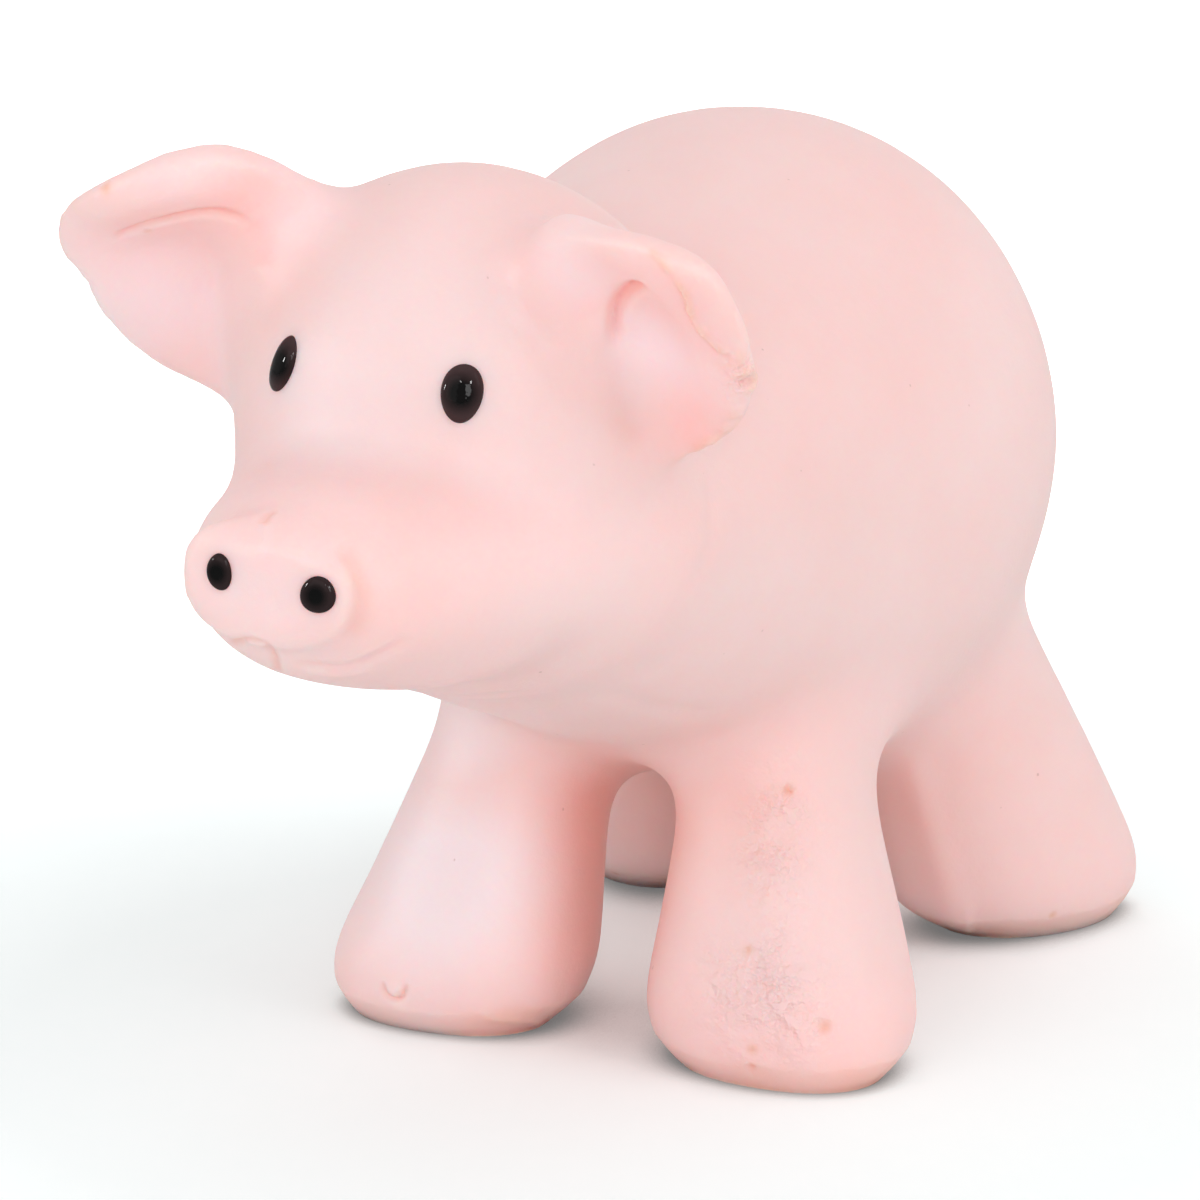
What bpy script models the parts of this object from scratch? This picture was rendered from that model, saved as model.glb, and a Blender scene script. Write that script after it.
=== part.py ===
"""Toy farm pig: a hollow moulded rubber skin, painted eyes and nostrils, and a rattle ball inside.

Metres, +Z up. The pig looks along -Y and stands on z = 0, and x = 0 is its plane of symmetry.
Every "forward" value is a distance towards the snout from just ahead of the middle of the stance.
A "side" value is a distance from the plane of symmetry, and an "up" value one from the floor.
"""

import math

import bmesh
import bpy
from mathutils import Matrix, Vector

# Middle of the whole length, seen from the point that the forward values start at
MIDDLE_FORWARD = 0.0011

# Skin
WALL = 0.0026
SOLE_WALL = 0.0032
GAP = 0.0003
OVERRUN = 0.004

# Barrel and chest
BARREL_FORWARD = -0.0217
BARREL_UP = 0.0444
BARREL_HALF_WIDTH = 0.0265
BARREL_HALF_LENGTH = 0.0255
BARREL_HALF_HEIGHT = 0.0283
CHEST_FORWARD = -0.0044
CHEST_UP = 0.0450
CHEST_HALF_WIDTH = 0.0216
CHEST_HALF_LENGTH = 0.0178
CHEST_HALF_HEIGHT = 0.0216
NECK_FORWARD = 0.0212
NECK_UP = 0.0474
NECK_HALF_WIDTH = 0.0190
NECK_HALF_LENGTH = 0.0120
NECK_HALF_HEIGHT = 0.0156

# Head and jowl
HEAD_FORWARD = 0.0267
HEAD_UP = 0.0566
HEAD_HALF_WIDTH = 0.0179
HEAD_HALF_LENGTH = 0.0152
HEAD_HALF_HEIGHT = 0.0172
JOWL_FORWARD = 0.0241
JOWL_UP = 0.0466
JOWL_HALF_WIDTH = 0.0188
JOWL_HALF_LENGTH = 0.0165
JOWL_HALF_HEIGHT = 0.0127

# Muzzle, from the middle of the jowl to the snout's flat face
MUZZLE_ROOT_HALF_WIDTH = 0.0180
MUZZLE_ROOT_HALF_HEIGHT = 0.0105
MUZZLE_REACH = 0.0299
MUZZLE_HALF_WIDTH = 0.0117
MUZZLE_HALF_HEIGHT = 0.0075
MUZZLE_RISE = 0.0008
MUZZLE_SECTION_SHARES = (
    # along, width, height
    (0.00, 1.00, 1.00),
    (0.40, 0.50, 0.55),
    (0.74, 0.00, 0.00),
    (0.87, -0.16, -0.26),
    (0.95, -0.44, -0.63),
    (1.00, -0.79, -1.00),
)

# Front legs
FRONT_FOOT_SIDE = 0.0149
FRONT_FOOT_FORWARD = 0.0024
FRONT_FOOT_HALF_WIDTH = 0.0131
FRONT_FOOT_HALF_LENGTH = 0.0098
FRONT_HIP_SIDE = 0.0110
FRONT_HIP_FORWARD = -0.0050
FRONT_HIP_HALF_WIDTH = 0.0080
FRONT_HIP_HALF_LENGTH = 0.0088
FRONT_LEG_TURN = math.radians(-2)

# Rear legs
REAR_FOOT_SIDE = 0.0183
REAR_FOOT_FORWARD = -0.0433
REAR_FOOT_HALF_WIDTH = 0.0134
REAR_FOOT_HALF_LENGTH = 0.0090
REAR_HIP_SIDE = 0.0131
REAR_HIP_FORWARD = -0.0327
REAR_HIP_HALF_WIDTH = 0.0112
REAR_HIP_HALF_LENGTH = 0.0075
REAR_LEG_TURN = math.radians(60)
REAR_LEG_TOP_SHARE = 1.3

# All legs
HIP_UP = 0.0240
SOLE_ROUNDING = 0.0065
SOLE_LEVEL_SHARES = (0.0, 0.3, 0.65, 1.0)
SOLE_SHARE = 0.72
LEG_CORNER_SHARE = 0.85
LEG_SECTIONS = 5

# Ears: each section runs from the root line in the head out to the rim.
# The root line and the reach are shares of the head's half sizes, from the head's middle.
EAR_ROOT_TOP_SIDE_SHARE = 0.42
EAR_ROOT_BOTTOM_SIDE_SHARE = 0.81
EAR_ROOT_TOP_RISE_SHARE = 0.72
EAR_ROOT_BOTTOM_RISE_SHARE = -0.12
EAR_ROOT_FORWARD_SHARE = -0.11
EAR_REACH_SHARE = 0.905
EAR_FLARE_SHARE = 1.14
EAR_LIFT_SHARE = 0.53
EAR_EDGE_SHARE = 0.55
EAR_TAPER_SHARE = 0.6
EAR_STATIONS = 20
EAR_THICKNESS = 0.0038
EAR_CUP = 0.0012
EAR_RIM_SHARES = (
    # down the root line, out, forward, up
    (0.00, 0.15, 0.29, 0.49),
    (0.07, 0.22, 0.72, 0.84),
    (0.14, 0.34, 0.88, 0.98),
    (0.22, 0.57, 0.96, 0.95),
    (0.30, 0.75, 0.99, 0.90),
    (0.39, 0.93, 0.86, 0.78),
    (0.48, 0.97, 0.79, 0.67),
    (0.57, 0.95, 0.66, 0.51),
    (0.66, 0.92, 0.55, 0.39),
    (0.76, 0.79, 0.40, 0.23),
    (0.86, 0.59, 0.25, 0.06),
    (1.00, 0.26, 0.22, -0.02),
)

# Curled tail, moulded on the rump
TAIL_RISE_SHARE = 0.22
TAIL_COIL_RADIUS = 0.0032
TAIL_ROD_RADIUS = 0.0016
TAIL_STAND_OFF = 0.0016
TAIL_TURNS = 1.4
TAIL_TIP_SHARE = 0.5
TAIL_STEPS = 30
TAIL_POINTS = 12

# Rounding where one form runs into the next, and the grain of the surface
BODY_BLEND = 0.0029
HEAD_BLEND = 0.0028
SKIN_BLEND = 0.0011
CAVITY_BLEND = 0.0018
GRAIN = 0.0008
CAVITY_GRAIN = 0.0016
SKIN_TRIANGLES = 7200
CAVITY_TRIANGLES = 1400

# Painted eyes and nostrils, placed by shares of the half sizes of the head and the muzzle
EYE_SIDE_SHARE = 0.40
EYE_RISE_SHARE = 0.205
EYE_HALF_WIDTH = 0.0016
EYE_HALF_HEIGHT = 0.0022
NOSTRIL_SIDE_SHARE = 0.34
NOSTRIL_RISE_SHARE = 0.15
NOSTRIL_HALF_WIDTH = 0.0013
NOSTRIL_HALF_HEIGHT = 0.0014
PAINT_BULGE = 0.0007
PAINT_LEAN = 0.0004

# Belly plug in the pour hole, between the front and the rear legs
PLUG_FORWARD = -0.0182
PLUG_RADIUS = 0.0062
PLUG_STEP = 0.0024

# Rattle ball and its beads
BALL_RADIUS = 0.0075
BALL_WALL = 0.0013
BALL_LAP = 0.0016
BEAD_RADIUS = 0.0014
BEAD_RING_RADIUS = 0.0032
BEAD_RING_COUNT = 4

# Shading and the detail of round forms
SHARP_ANGLE = math.radians(60)
RING_POINTS = 40
TURNED_POINTS = 36
ARC_STEPS = 9
FORM_DETAIL = 4
DROP_DETAIL = 3
WELD_SHARE = 0.01


def clear_scene():
    for obj in list(bpy.data.objects):
        bpy.data.objects.remove(obj, do_unlink=True)


def material(name, colour, roughness, metallic=0.0):
    made = bpy.data.materials.new(name)
    made.use_nodes = True
    shader = made.node_tree.nodes["Principled BSDF"]
    shader.inputs["Base Color"].default_value = (*colour, 1.0)
    shader.inputs["Roughness"].default_value = roughness
    shader.inputs["Metallic"].default_value = metallic
    made.diffuse_color = (*colour, 1.0)
    return made


def pink_rubber():
    return material("pink_rubber", (0.86, 0.58, 0.56), 0.55)


def black_paint():
    return material("black_paint", (0.006, 0.006, 0.006), 0.12)


def plug_rubber():
    return material("plug_rubber", (0.80, 0.50, 0.46), 0.60)


def ball_plastic():
    return material("ball_plastic", (0.82, 0.82, 0.78), 0.35)


def bead_steel():
    return material("bead_steel", (0.60, 0.60, 0.62), 0.30, 1.0)


def new_object(name, bm, finish=None, rounded=True):
    """One linked object that holds this bmesh, shaded smooth where it is round."""
    bmesh.ops.recalc_face_normals(bm, faces=bm.faces)
    mesh = bpy.data.meshes.new(name)
    bm.to_mesh(mesh)
    bm.free()
    if rounded:
        mesh.shade_smooth()
        mesh.set_sharp_from_angle(angle=SHARP_ANGLE)
    obj = bpy.data.objects.new(name, mesh)
    bpy.context.scene.collection.objects.link(obj)
    if finish:
        mesh.materials.append(finish)
    return obj


def hide(obj):
    obj.hide_render = True
    obj.display_type = "WIRE"


def evaluated_mesh(obj):
    bpy.context.view_layer.update()
    graph = bpy.context.evaluated_depsgraph_get()
    return bpy.data.meshes.new_from_object(obj.evaluated_get(graph))


def place(forward, up, side=0.0):
    return Vector((side, MIDDLE_FORWARD - forward, up))


def ellipsoid(bm, centre, half_sizes):
    where = Matrix.Translation(centre) @ Matrix.Diagonal((*half_sizes, 1.0))
    bmesh.ops.create_icosphere(bm, subdivisions=FORM_DETAIL, radius=1.0, matrix=where)


def loft(bm, rings):
    """A closed skin through rings of points, capped at both ends."""
    loops = [[bm.verts.new(point) for point in ring] for ring in rings]
    for lower, upper in zip(loops, loops[1:]):
        count = len(lower)
        for index in range(count):
            after = (index + 1) % count
            bm.faces.new((lower[index], lower[after], upper[after], upper[index]))
    bm.faces.new(list(reversed(loops[0])))
    bm.faces.new(loops[-1])


def squared(value, share):
    """A sine or cosine pushed towards its ends, which squares the corners of an oval."""
    return math.copysign(abs(value) ** share, value)


def oval(centre, across, along, half_sizes, points=RING_POINTS, corner_share=1.0):
    """A ring of points round an oval that the two directions span."""
    ring = []
    for index in range(points):
        angle = math.tau * index / points
        wide = half_sizes[0] * squared(math.cos(angle), corner_share)
        long = half_sizes[1] * squared(math.sin(angle), corner_share)
        ring.append(centre + across * wide + along * long)
    return ring


def mixed(start, end, share):
    return start + (end - start) * share


def leg(bm, foot, hip, top, foot_half_sizes, hip_half_sizes, turn, inset, floor):
    """A flared leg from below the sole, past the hip, to its top inside the body."""
    across = Vector((math.cos(turn), math.sin(turn), 0.0))
    along = Vector((-math.sin(turn), math.cos(turn), 0.0))
    shank = floor + SOLE_ROUNDING
    levels = [mixed(floor, shank, share) for share in SOLE_LEVEL_SHARES]
    levels += [mixed(shank, HIP_UP, (step + 1) / LEG_SECTIONS) for step in range(LEG_SECTIONS)]
    levels.append(top)
    rings = []
    for level in levels:
        share = level / HIP_UP
        narrowing = min(share, 1.0)
        above_sole = min((level - inset) / SOLE_ROUNDING, 1.0)
        tucked = 1.0 - (1.0 - SOLE_SHARE) * (1.0 - above_sole) ** 2
        centre = mixed(foot, hip, share)
        centre.z = level
        half_sizes = [
            mixed(at_foot, at_hip, narrowing) * tucked - inset
            for at_foot, at_hip in zip(foot_half_sizes, hip_half_sizes)
        ]
        rings.append(oval(centre, across, along, half_sizes, corner_share=LEG_CORNER_SHARE))
    loft(bm, rings)


def legs(bm, inset=0.0, floor=-OVERRUN / 2):
    for side in (1, -1):
        leg(
            bm,
            place(FRONT_FOOT_FORWARD, 0.0, side * FRONT_FOOT_SIDE),
            place(FRONT_HIP_FORWARD, HIP_UP, side * FRONT_HIP_SIDE),
            CHEST_UP,
            (FRONT_FOOT_HALF_WIDTH, FRONT_FOOT_HALF_LENGTH),
            (FRONT_HIP_HALF_WIDTH, FRONT_HIP_HALF_LENGTH),
            side * FRONT_LEG_TURN,
            inset,
            floor,
        )
        leg(
            bm,
            place(REAR_FOOT_FORWARD, 0.0, side * REAR_FOOT_SIDE),
            place(REAR_HIP_FORWARD, HIP_UP, side * REAR_HIP_SIDE),
            HIP_UP * REAR_LEG_TOP_SHARE,
            (REAR_FOOT_HALF_WIDTH, REAR_FOOT_HALF_LENGTH),
            (REAR_HIP_HALF_WIDTH, REAR_HIP_HALF_LENGTH),
            side * REAR_LEG_TURN,
            inset,
            floor,
        )


def trunk(bm, inset=0.0):
    """One egg drawn tight over the barrel, the chest and the neck."""
    cloud = bmesh.new()
    for centre, half_sizes in (
        (place(BARREL_FORWARD, BARREL_UP), (BARREL_HALF_WIDTH, BARREL_HALF_LENGTH, BARREL_HALF_HEIGHT)),
        (place(CHEST_FORWARD, CHEST_UP), (CHEST_HALF_WIDTH, CHEST_HALF_LENGTH, CHEST_HALF_HEIGHT)),
        (place(NECK_FORWARD, NECK_UP), (NECK_HALF_WIDTH, NECK_HALF_LENGTH, NECK_HALF_HEIGHT)),
    ):
        ellipsoid(cloud, centre, [half_size - inset for half_size in half_sizes])
    bmesh.ops.delete(cloud, geom=cloud.edges[:], context="EDGES_FACES")
    bmesh.ops.convex_hull(cloud, input=cloud.verts[:])
    bmesh.ops.delete(cloud, geom=[vert for vert in cloud.verts if not vert.link_faces], context="VERTS")
    bmesh.ops.recalc_face_normals(cloud, faces=cloud.faces)
    mesh = bpy.data.meshes.new("trunk")
    cloud.to_mesh(mesh)
    cloud.free()
    with_mesh(bm, mesh)


def muzzle(bm, inset=0.0):
    """Oval sections from the jowl to the snout; a share below zero draws in for the snout's rim."""
    rings = []
    root = place(JOWL_FORWARD, JOWL_UP)
    tip = place(JOWL_FORWARD + MUZZLE_REACH, JOWL_UP + MUZZLE_RISE)
    for along, wide, high in MUZZLE_SECTION_SHARES:
        centre = mixed(root, tip, along)
        centre.y += inset * along
        half_width = mixed(MUZZLE_HALF_WIDTH, MUZZLE_ROOT_HALF_WIDTH, wide) - inset
        half_height = mixed(MUZZLE_HALF_HEIGHT, MUZZLE_ROOT_HALF_HEIGHT, high) - inset
        half_sizes = (max(half_width, GAP), max(half_height, GAP))
        rings.append(oval(centre, Vector((1.0, 0.0, 0.0)), Vector((0.0, 0.0, 1.0)), half_sizes))
    loft(bm, rings)


def head(bm, inset=0.0):
    ellipsoid(
        bm,
        place(HEAD_FORWARD, HEAD_UP),
        (HEAD_HALF_WIDTH - inset, HEAD_HALF_LENGTH - inset, HEAD_HALF_HEIGHT - inset),
    )
    ellipsoid(
        bm,
        place(JOWL_FORWARD, JOWL_UP),
        (JOWL_HALF_WIDTH - inset, JOWL_HALF_LENGTH - inset, JOWL_HALF_HEIGHT - inset),
    )
    muzzle(bm, inset)


def smooth_share(rows, share):
    """The row of shares at this share of the way down, on a smooth curve through all the rows."""
    starts = [row[0] for row in rows]
    index = max(place_in for place_in, start in enumerate(starts[:-1]) if start <= share)
    before = rows[max(index - 1, 0)]
    low = rows[index]
    high = rows[index + 1]
    after = rows[min(index + 2, len(rows) - 1)]
    part = (share - low[0]) / (high[0] - low[0])
    found = []
    for column in range(1, len(low)):
        p0, p1, p2, p3 = before[column], low[column], high[column], after[column]
        bend = 2 * p0 - 5 * p1 + 4 * p2 - p3
        twist = 3 * (p1 - p2) + p3 - p0
        found.append((2 * p1 + (p2 - p0) * part + bend * part**2 + twist * part**3) / 2)
    return found


def ear_root(side, side_share, rise_share):
    """A point of an ear's root line, inside the head."""
    return place(
        HEAD_FORWARD + HEAD_HALF_LENGTH * EAR_ROOT_FORWARD_SHARE,
        HEAD_UP + HEAD_HALF_HEIGHT * rise_share,
        side * HEAD_HALF_WIDTH * side_share,
    )


def ear(bm, side):
    """A cupped flap: thin sections from the root line to the rim, widest halfway down."""
    top = ear_root(side, EAR_ROOT_TOP_SIDE_SHARE, EAR_ROOT_TOP_RISE_SHARE)
    bottom = ear_root(side, EAR_ROOT_BOTTOM_SIDE_SHARE, EAR_ROOT_BOTTOM_RISE_SHARE)
    spread = Vector(
        (
            side * HEAD_HALF_WIDTH * EAR_REACH_SHARE,
            -HEAD_HALF_LENGTH * EAR_FLARE_SHARE,
            HEAD_HALF_HEIGHT * EAR_LIFT_SHARE,
        )
    )
    rings = []
    for station in range(EAR_STATIONS + 1):
        share = station / EAR_STATIONS
        reach = Vector(smooth_share(EAR_RIM_SHARES, share)) * spread
        root = mixed(top, bottom, share)
        chord = reach.normalized()
        facing = chord.cross(bottom - top).normalized()
        taper = math.sqrt(1.0 - EAR_TAPER_SHARE * (2 * share - 1) ** 2)
        ring = []
        for index in range(RING_POINTS):
            angle = math.tau * index / RING_POINTS
            run = reach.length / 2 * (1 - squared(math.cos(angle), EAR_EDGE_SHARE))
            sag = side * EAR_CUP * math.sin(angle / 2) ** 2
            rise = EAR_THICKNESS / 2 * taper * squared(math.sin(angle), EAR_EDGE_SHARE) - sag
            ring.append(root + chord * run + facing * rise)
        rings.append(ring)
    loft(bm, rings)


def tail(bm):
    """A flat curl of round rod that lies on the rump."""
    rump_up = BARREL_UP + BARREL_HALF_HEIGHT * TAIL_RISE_SHARE
    rump = place(BARREL_FORWARD - BARREL_HALF_LENGTH, rump_up)
    rod = (TAIL_ROD_RADIUS, TAIL_ROD_RADIUS)
    rings = []
    for step in range(TAIL_STEPS + 1):
        share = step / TAIL_STEPS
        angle = math.tau * TAIL_TURNS * share
        radius = TAIL_COIL_RADIUS * mixed(1.0, TAIL_TIP_SHARE, share)
        spoke = Vector((math.cos(angle), 0.0, math.sin(angle)))
        middle = rump + spoke * radius
        middle.y += TAIL_STAND_OFF * (share - TAIL_TIP_SHARE)
        rings.append(oval(middle, spoke, Vector((0.0, 1.0, 0.0)), rod, points=TAIL_POINTS))
    loft(bm, rings)


def blended(name, bm, grain, blend):
    """These overlapping forms as one smooth surface: a fine remesh, then smoothing over the blend."""
    obj = new_object(name, bm)
    remesh = obj.modifiers.new("remesh", "REMESH")
    remesh.mode = "VOXEL"
    remesh.voxel_size = grain
    relax = obj.modifiers.new("relax", "SMOOTH")
    relax.factor = 0.5
    relax.iterations = max(1, round((2 * blend / grain) ** 2))
    mesh = evaluated_mesh(obj)
    bpy.data.objects.remove(obj, do_unlink=True)
    return mesh


def with_mesh(bm, mesh):
    bm.from_mesh(mesh)
    bpy.data.meshes.remove(mesh)


def thinned(name, mesh, triangles):
    """The same surface with about this many triangles."""
    obj = bpy.data.objects.new(name, mesh)
    bpy.context.scene.collection.objects.link(obj)
    mesh.calc_loop_triangles()
    fewer = obj.modifiers.new("fewer", "DECIMATE")
    fewer.ratio = min(1.0, triangles / len(mesh.loop_triangles))
    result = evaluated_mesh(obj)
    bpy.data.objects.remove(obj, do_unlink=True)
    return result


def skin_form():
    """The pig's outer form, down to just below the floor."""
    body = bmesh.new()
    trunk(body)
    legs(body)
    front = bmesh.new()
    head(front)
    whole = bmesh.new()
    with_mesh(front, blended("body_form", body, GRAIN, BODY_BLEND))
    with_mesh(whole, blended("head_form", front, GRAIN, HEAD_BLEND))
    for side in (1, -1):
        ear(whole, side)
    tail(whole)
    fine = blended("whole_form", whole, GRAIN, SKIN_BLEND)
    return thinned("skin_form", fine, SKIN_TRIANGLES)


def cavity_form():
    """The hollow inside: the same forms drawn in by the wall, without the ears and the tail."""
    inside = bmesh.new()
    trunk(inside, WALL)
    legs(inside, WALL, SOLE_WALL)
    head(inside, WALL)
    fine = blended("inside_form", inside, CAVITY_GRAIN, CAVITY_BLEND)
    return thinned("cavity_form", fine, CAVITY_TRIANGLES)


def cut_flat(mesh, height):
    """Everything above this height, with a flat face there."""
    bm = bmesh.new()
    with_mesh(bm, mesh)
    bmesh.ops.bisect_plane(
        bm,
        geom=bm.verts[:] + bm.edges[:] + bm.faces[:],
        plane_co=Vector((0.0, 0.0, height)),
        plane_no=Vector((0.0, 0.0, 1.0)),
        clear_inner=True,
    )
    edges = [edge for edge in bm.edges if edge.is_boundary]
    bmesh.ops.holes_fill(bm, edges=edges)
    bmesh.ops.triangulate(bm, faces=bm.faces)
    return bm


def boolean(obj, other, operation="DIFFERENCE"):
    cut = obj.modifiers.new(f"{operation.lower()}_{other.name}", "BOOLEAN")
    cut.object = other
    cut.operation = operation
    cut.solver = "EXACT"


def disc(bm, centre, radius, height):
    bmesh.ops.create_cone(
        bm,
        cap_ends=True,
        segments=TURNED_POINTS,
        radius1=radius,
        radius2=radius,
        depth=height,
        matrix=Matrix.Translation(centre),
    )


def turned(profile):
    """A closed body of revolution round the upright through the origin, from (radius, height) points."""
    bm = bmesh.new()
    columns = []
    for step in range(TURNED_POINTS):
        angle = math.tau * step / TURNED_POINTS
        spoke = (math.cos(angle), math.sin(angle))
        columns.append([bm.verts.new((reach * spoke[0], reach * spoke[1], up)) for reach, up in profile])
    for step, here in enumerate(columns):
        there = columns[(step + 1) % TURNED_POINTS]
        for index in range(len(profile)):
            after = (index + 1) % len(profile)
            bm.faces.new((here[index], there[index], there[after], here[after]))
    bmesh.ops.remove_doubles(bm, verts=bm.verts, dist=GAP * WELD_SHARE)
    bmesh.ops.dissolve_degenerate(bm, edges=bm.edges, dist=GAP * WELD_SHARE)
    return bm


def surface_point(skin, side, up):
    """Where a line from ahead of the pig first meets the skin, and how the skin faces there."""
    start = place(JOWL_FORWARD + MUZZLE_REACH + OVERRUN, up, side)
    hit, point, normal, _ = skin.ray_cast(start, Vector((0.0, 1.0, 0.0)))
    if not hit:
        raise ValueError("no skin behind this point")
    return point, normal


def swelling(where, half_sizes):
    bm = bmesh.new()
    matrix = where @ Matrix.Diagonal((*half_sizes, 1.0))
    bmesh.ops.create_icosphere(bm, subdivisions=DROP_DETAIL, radius=1.0, matrix=matrix)
    return bm


def paint_drop(name, skin, side, up, half_sizes, paint):
    """A drop of thick paint on the skin; returns the cutter for its shallow seat."""
    point, normal = surface_point(skin, side, up)
    where = Matrix.Translation(point) @ normal.to_track_quat("Y", "Z").to_matrix().to_4x4()
    new_object(name, swelling(where, half_sizes), paint)
    wider = [half_size + GAP for half_size in half_sizes]
    seat = new_object(f"{name}_seat", swelling(where, wider), rounded=False)
    hide(seat)
    return seat


def painted_face(skin):
    """Two eyes and two nostrils; each pair leans a little, as drops set by hand do."""
    paint = black_paint()
    eye_side = HEAD_HALF_WIDTH * EYE_SIDE_SHARE
    eye_up = HEAD_UP + HEAD_HALF_HEIGHT * EYE_RISE_SHARE
    nostril_side = MUZZLE_HALF_WIDTH * NOSTRIL_SIDE_SHARE
    nostril_up = JOWL_UP + MUZZLE_RISE + MUZZLE_HALF_HEIGHT * NOSTRIL_RISE_SHARE
    seats = []
    for name, sign in (("left", 1), ("right", -1)):
        for kind, side, up, half_width, half_height in (
            ("eye", eye_side, eye_up, EYE_HALF_WIDTH, EYE_HALF_HEIGHT),
            ("nostril", nostril_side, nostril_up, NOSTRIL_HALF_WIDTH, NOSTRIL_HALF_HEIGHT),
        ):
            level = up - sign * PAINT_LEAN
            half_sizes = (half_width, PAINT_BULGE, half_height)
            seats.append(paint_drop(f"{name}_{kind}", skin, sign * side, level, half_sizes, paint))
    return seats


def belly_bottom():
    return BARREL_UP - BARREL_HALF_HEIGHT


def plug_top():
    return belly_bottom() + WALL + PLUG_STEP


def pour_core(name, radius, top):
    """A cylinder from below the belly up to this height, in the line of the pour hole."""
    bottom = belly_bottom() - OVERRUN
    bm = bmesh.new()
    disc(bm, place(PLUG_FORWARD, mixed(bottom, top, 0.5)), radius, top - bottom)
    core = new_object(name, bm, rounded=False)
    hide(core)
    return core


def belly_plug(outer_mesh):
    """The rubber plug: its underside follows the belly, its top is flat."""
    plug = bpy.data.objects.new("belly_plug", outer_mesh.copy())
    bpy.context.scene.collection.objects.link(plug)
    plug.data.materials.append(plug_rubber())
    boolean(plug, pour_core("plug_core", PLUG_RADIUS, plug_top()), "INTERSECT")
    return plug


def arc(radius, start, end, steps):
    """Points of (reach, height) round an arc, angles measured from straight down."""
    points = []
    for step in range(steps + 1):
        angle = mixed(start, end, step / steps)
        points.append((radius * math.sin(angle), -radius * math.cos(angle)))
    return points


def ball_centre():
    return place(PLUG_FORWARD, plug_top() + GAP + BALL_RADIUS)


def rattle_ball():
    """Two cups of a hollow ball that lap at the equator, and the empty that slides."""
    slide = bpy.data.objects.new("rattle_slide", None)
    slide.location = ball_centre()
    bpy.context.scene.collection.objects.link(slide)
    plastic = ball_plastic()
    inner = BALL_RADIUS - BALL_WALL
    middle = BALL_RADIUS - BALL_WALL / 2
    quarter = math.pi / 2
    lower_outline = arc(BALL_RADIUS, 0.0, quarter, ARC_STEPS)
    lower_outline.append((middle + GAP / 2, 0.0))
    lower_outline.append((middle + GAP / 2, -BALL_LAP))
    lower_outline.append((math.sqrt(inner**2 - BALL_LAP**2), -BALL_LAP))
    lower_angle = math.acos(BALL_LAP / inner)
    lower_outline += list(reversed(arc(inner, 0.0, lower_angle, ARC_STEPS)))[1:]
    upper_outline = arc(BALL_RADIUS, quarter + GAP / BALL_RADIUS, math.pi, ARC_STEPS)
    upper_outline += list(reversed(arc(inner, quarter, math.pi, ARC_STEPS)))
    upper_outline.append((inner, -BALL_LAP + GAP))
    upper_outline.append((middle - GAP / 2, -BALL_LAP + GAP))
    upper_outline.append((middle - GAP / 2, GAP))
    for name, outline in (("rattle_lower_cup", lower_outline), ("rattle_upper_cup", upper_outline)):
        cup = new_object(name, turned(outline), plastic)
        cup.parent = slide
    return slide


def beads(slide):
    """Loose beads in the ball, each at rest in its own upright lane."""
    steel = bead_steel()
    reach = BALL_RADIUS - BALL_WALL - BEAD_RADIUS - GAP
    spots = [Vector((0.0, 0.0))]
    for step in range(BEAD_RING_COUNT):
        angle = math.tau * (step + 0.5) / BEAD_RING_COUNT
        spots.append(Vector((BEAD_RING_RADIUS * math.cos(angle), BEAD_RING_RADIUS * math.sin(angle))))
    for number, spot in enumerate(spots, start=1):
        bm = bmesh.new()
        bmesh.ops.create_icosphere(bm, subdivisions=DROP_DETAIL, radius=BEAD_RADIUS)
        bead = new_object(f"rattle_bead_{number}", bm, steel)
        bead.parent = slide
        bead.location = (spot.x, spot.y, -math.sqrt(reach**2 - spot.length**2))


def body_shell(outer_mesh, seats):
    shell = bpy.data.objects.new("body_shell", outer_mesh)
    bpy.context.scene.collection.objects.link(shell)
    shell.data.materials.append(pink_rubber())
    cavity = bpy.data.objects.new("cavity", cavity_form())
    bpy.context.scene.collection.objects.link(cavity)
    hide(cavity)
    boolean(shell, cavity)
    boolean(shell, pour_core("pour_hole", PLUG_RADIUS + GAP, BARREL_UP))
    for seat in seats:
        boolean(shell, seat)
    return shell


def build():
    clear_scene()
    skin = new_object("skin", cut_flat(skin_form(), 0.0))
    hide(skin)
    bpy.context.view_layer.update()
    seats = painted_face(skin)
    belly_plug(skin.data)
    body_shell(skin.data.copy(), seats)
    beads(rattle_ball())


build()
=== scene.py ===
# %% [markdown]
# # A moulded rubber pig
#
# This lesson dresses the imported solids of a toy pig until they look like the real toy: soft,
# matte, pale pink natural rubber, drops of thick black paint for eyes and nostrils, and the small
# marks that a mould leaves. Lengths are metres, +Z is up, the pig looks along -Y and +X is its left.

import math

import bmesh
import bpy
import numpy as np
from mathutils import Matrix, Vector, noise
from mathutils.bvhtree import BVHTree


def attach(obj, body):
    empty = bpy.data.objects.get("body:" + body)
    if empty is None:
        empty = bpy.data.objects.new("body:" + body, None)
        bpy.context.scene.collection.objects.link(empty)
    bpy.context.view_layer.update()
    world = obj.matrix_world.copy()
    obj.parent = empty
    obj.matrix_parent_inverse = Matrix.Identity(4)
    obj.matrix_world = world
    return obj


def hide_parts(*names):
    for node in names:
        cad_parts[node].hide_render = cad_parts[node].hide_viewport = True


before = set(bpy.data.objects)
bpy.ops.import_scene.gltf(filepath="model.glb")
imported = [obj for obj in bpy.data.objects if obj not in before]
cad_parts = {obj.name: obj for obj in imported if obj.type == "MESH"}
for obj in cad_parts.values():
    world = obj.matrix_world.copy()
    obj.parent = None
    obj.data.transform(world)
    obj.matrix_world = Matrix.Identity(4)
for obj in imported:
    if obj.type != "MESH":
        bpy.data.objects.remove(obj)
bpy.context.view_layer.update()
print("solids:", sorted(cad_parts))

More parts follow.
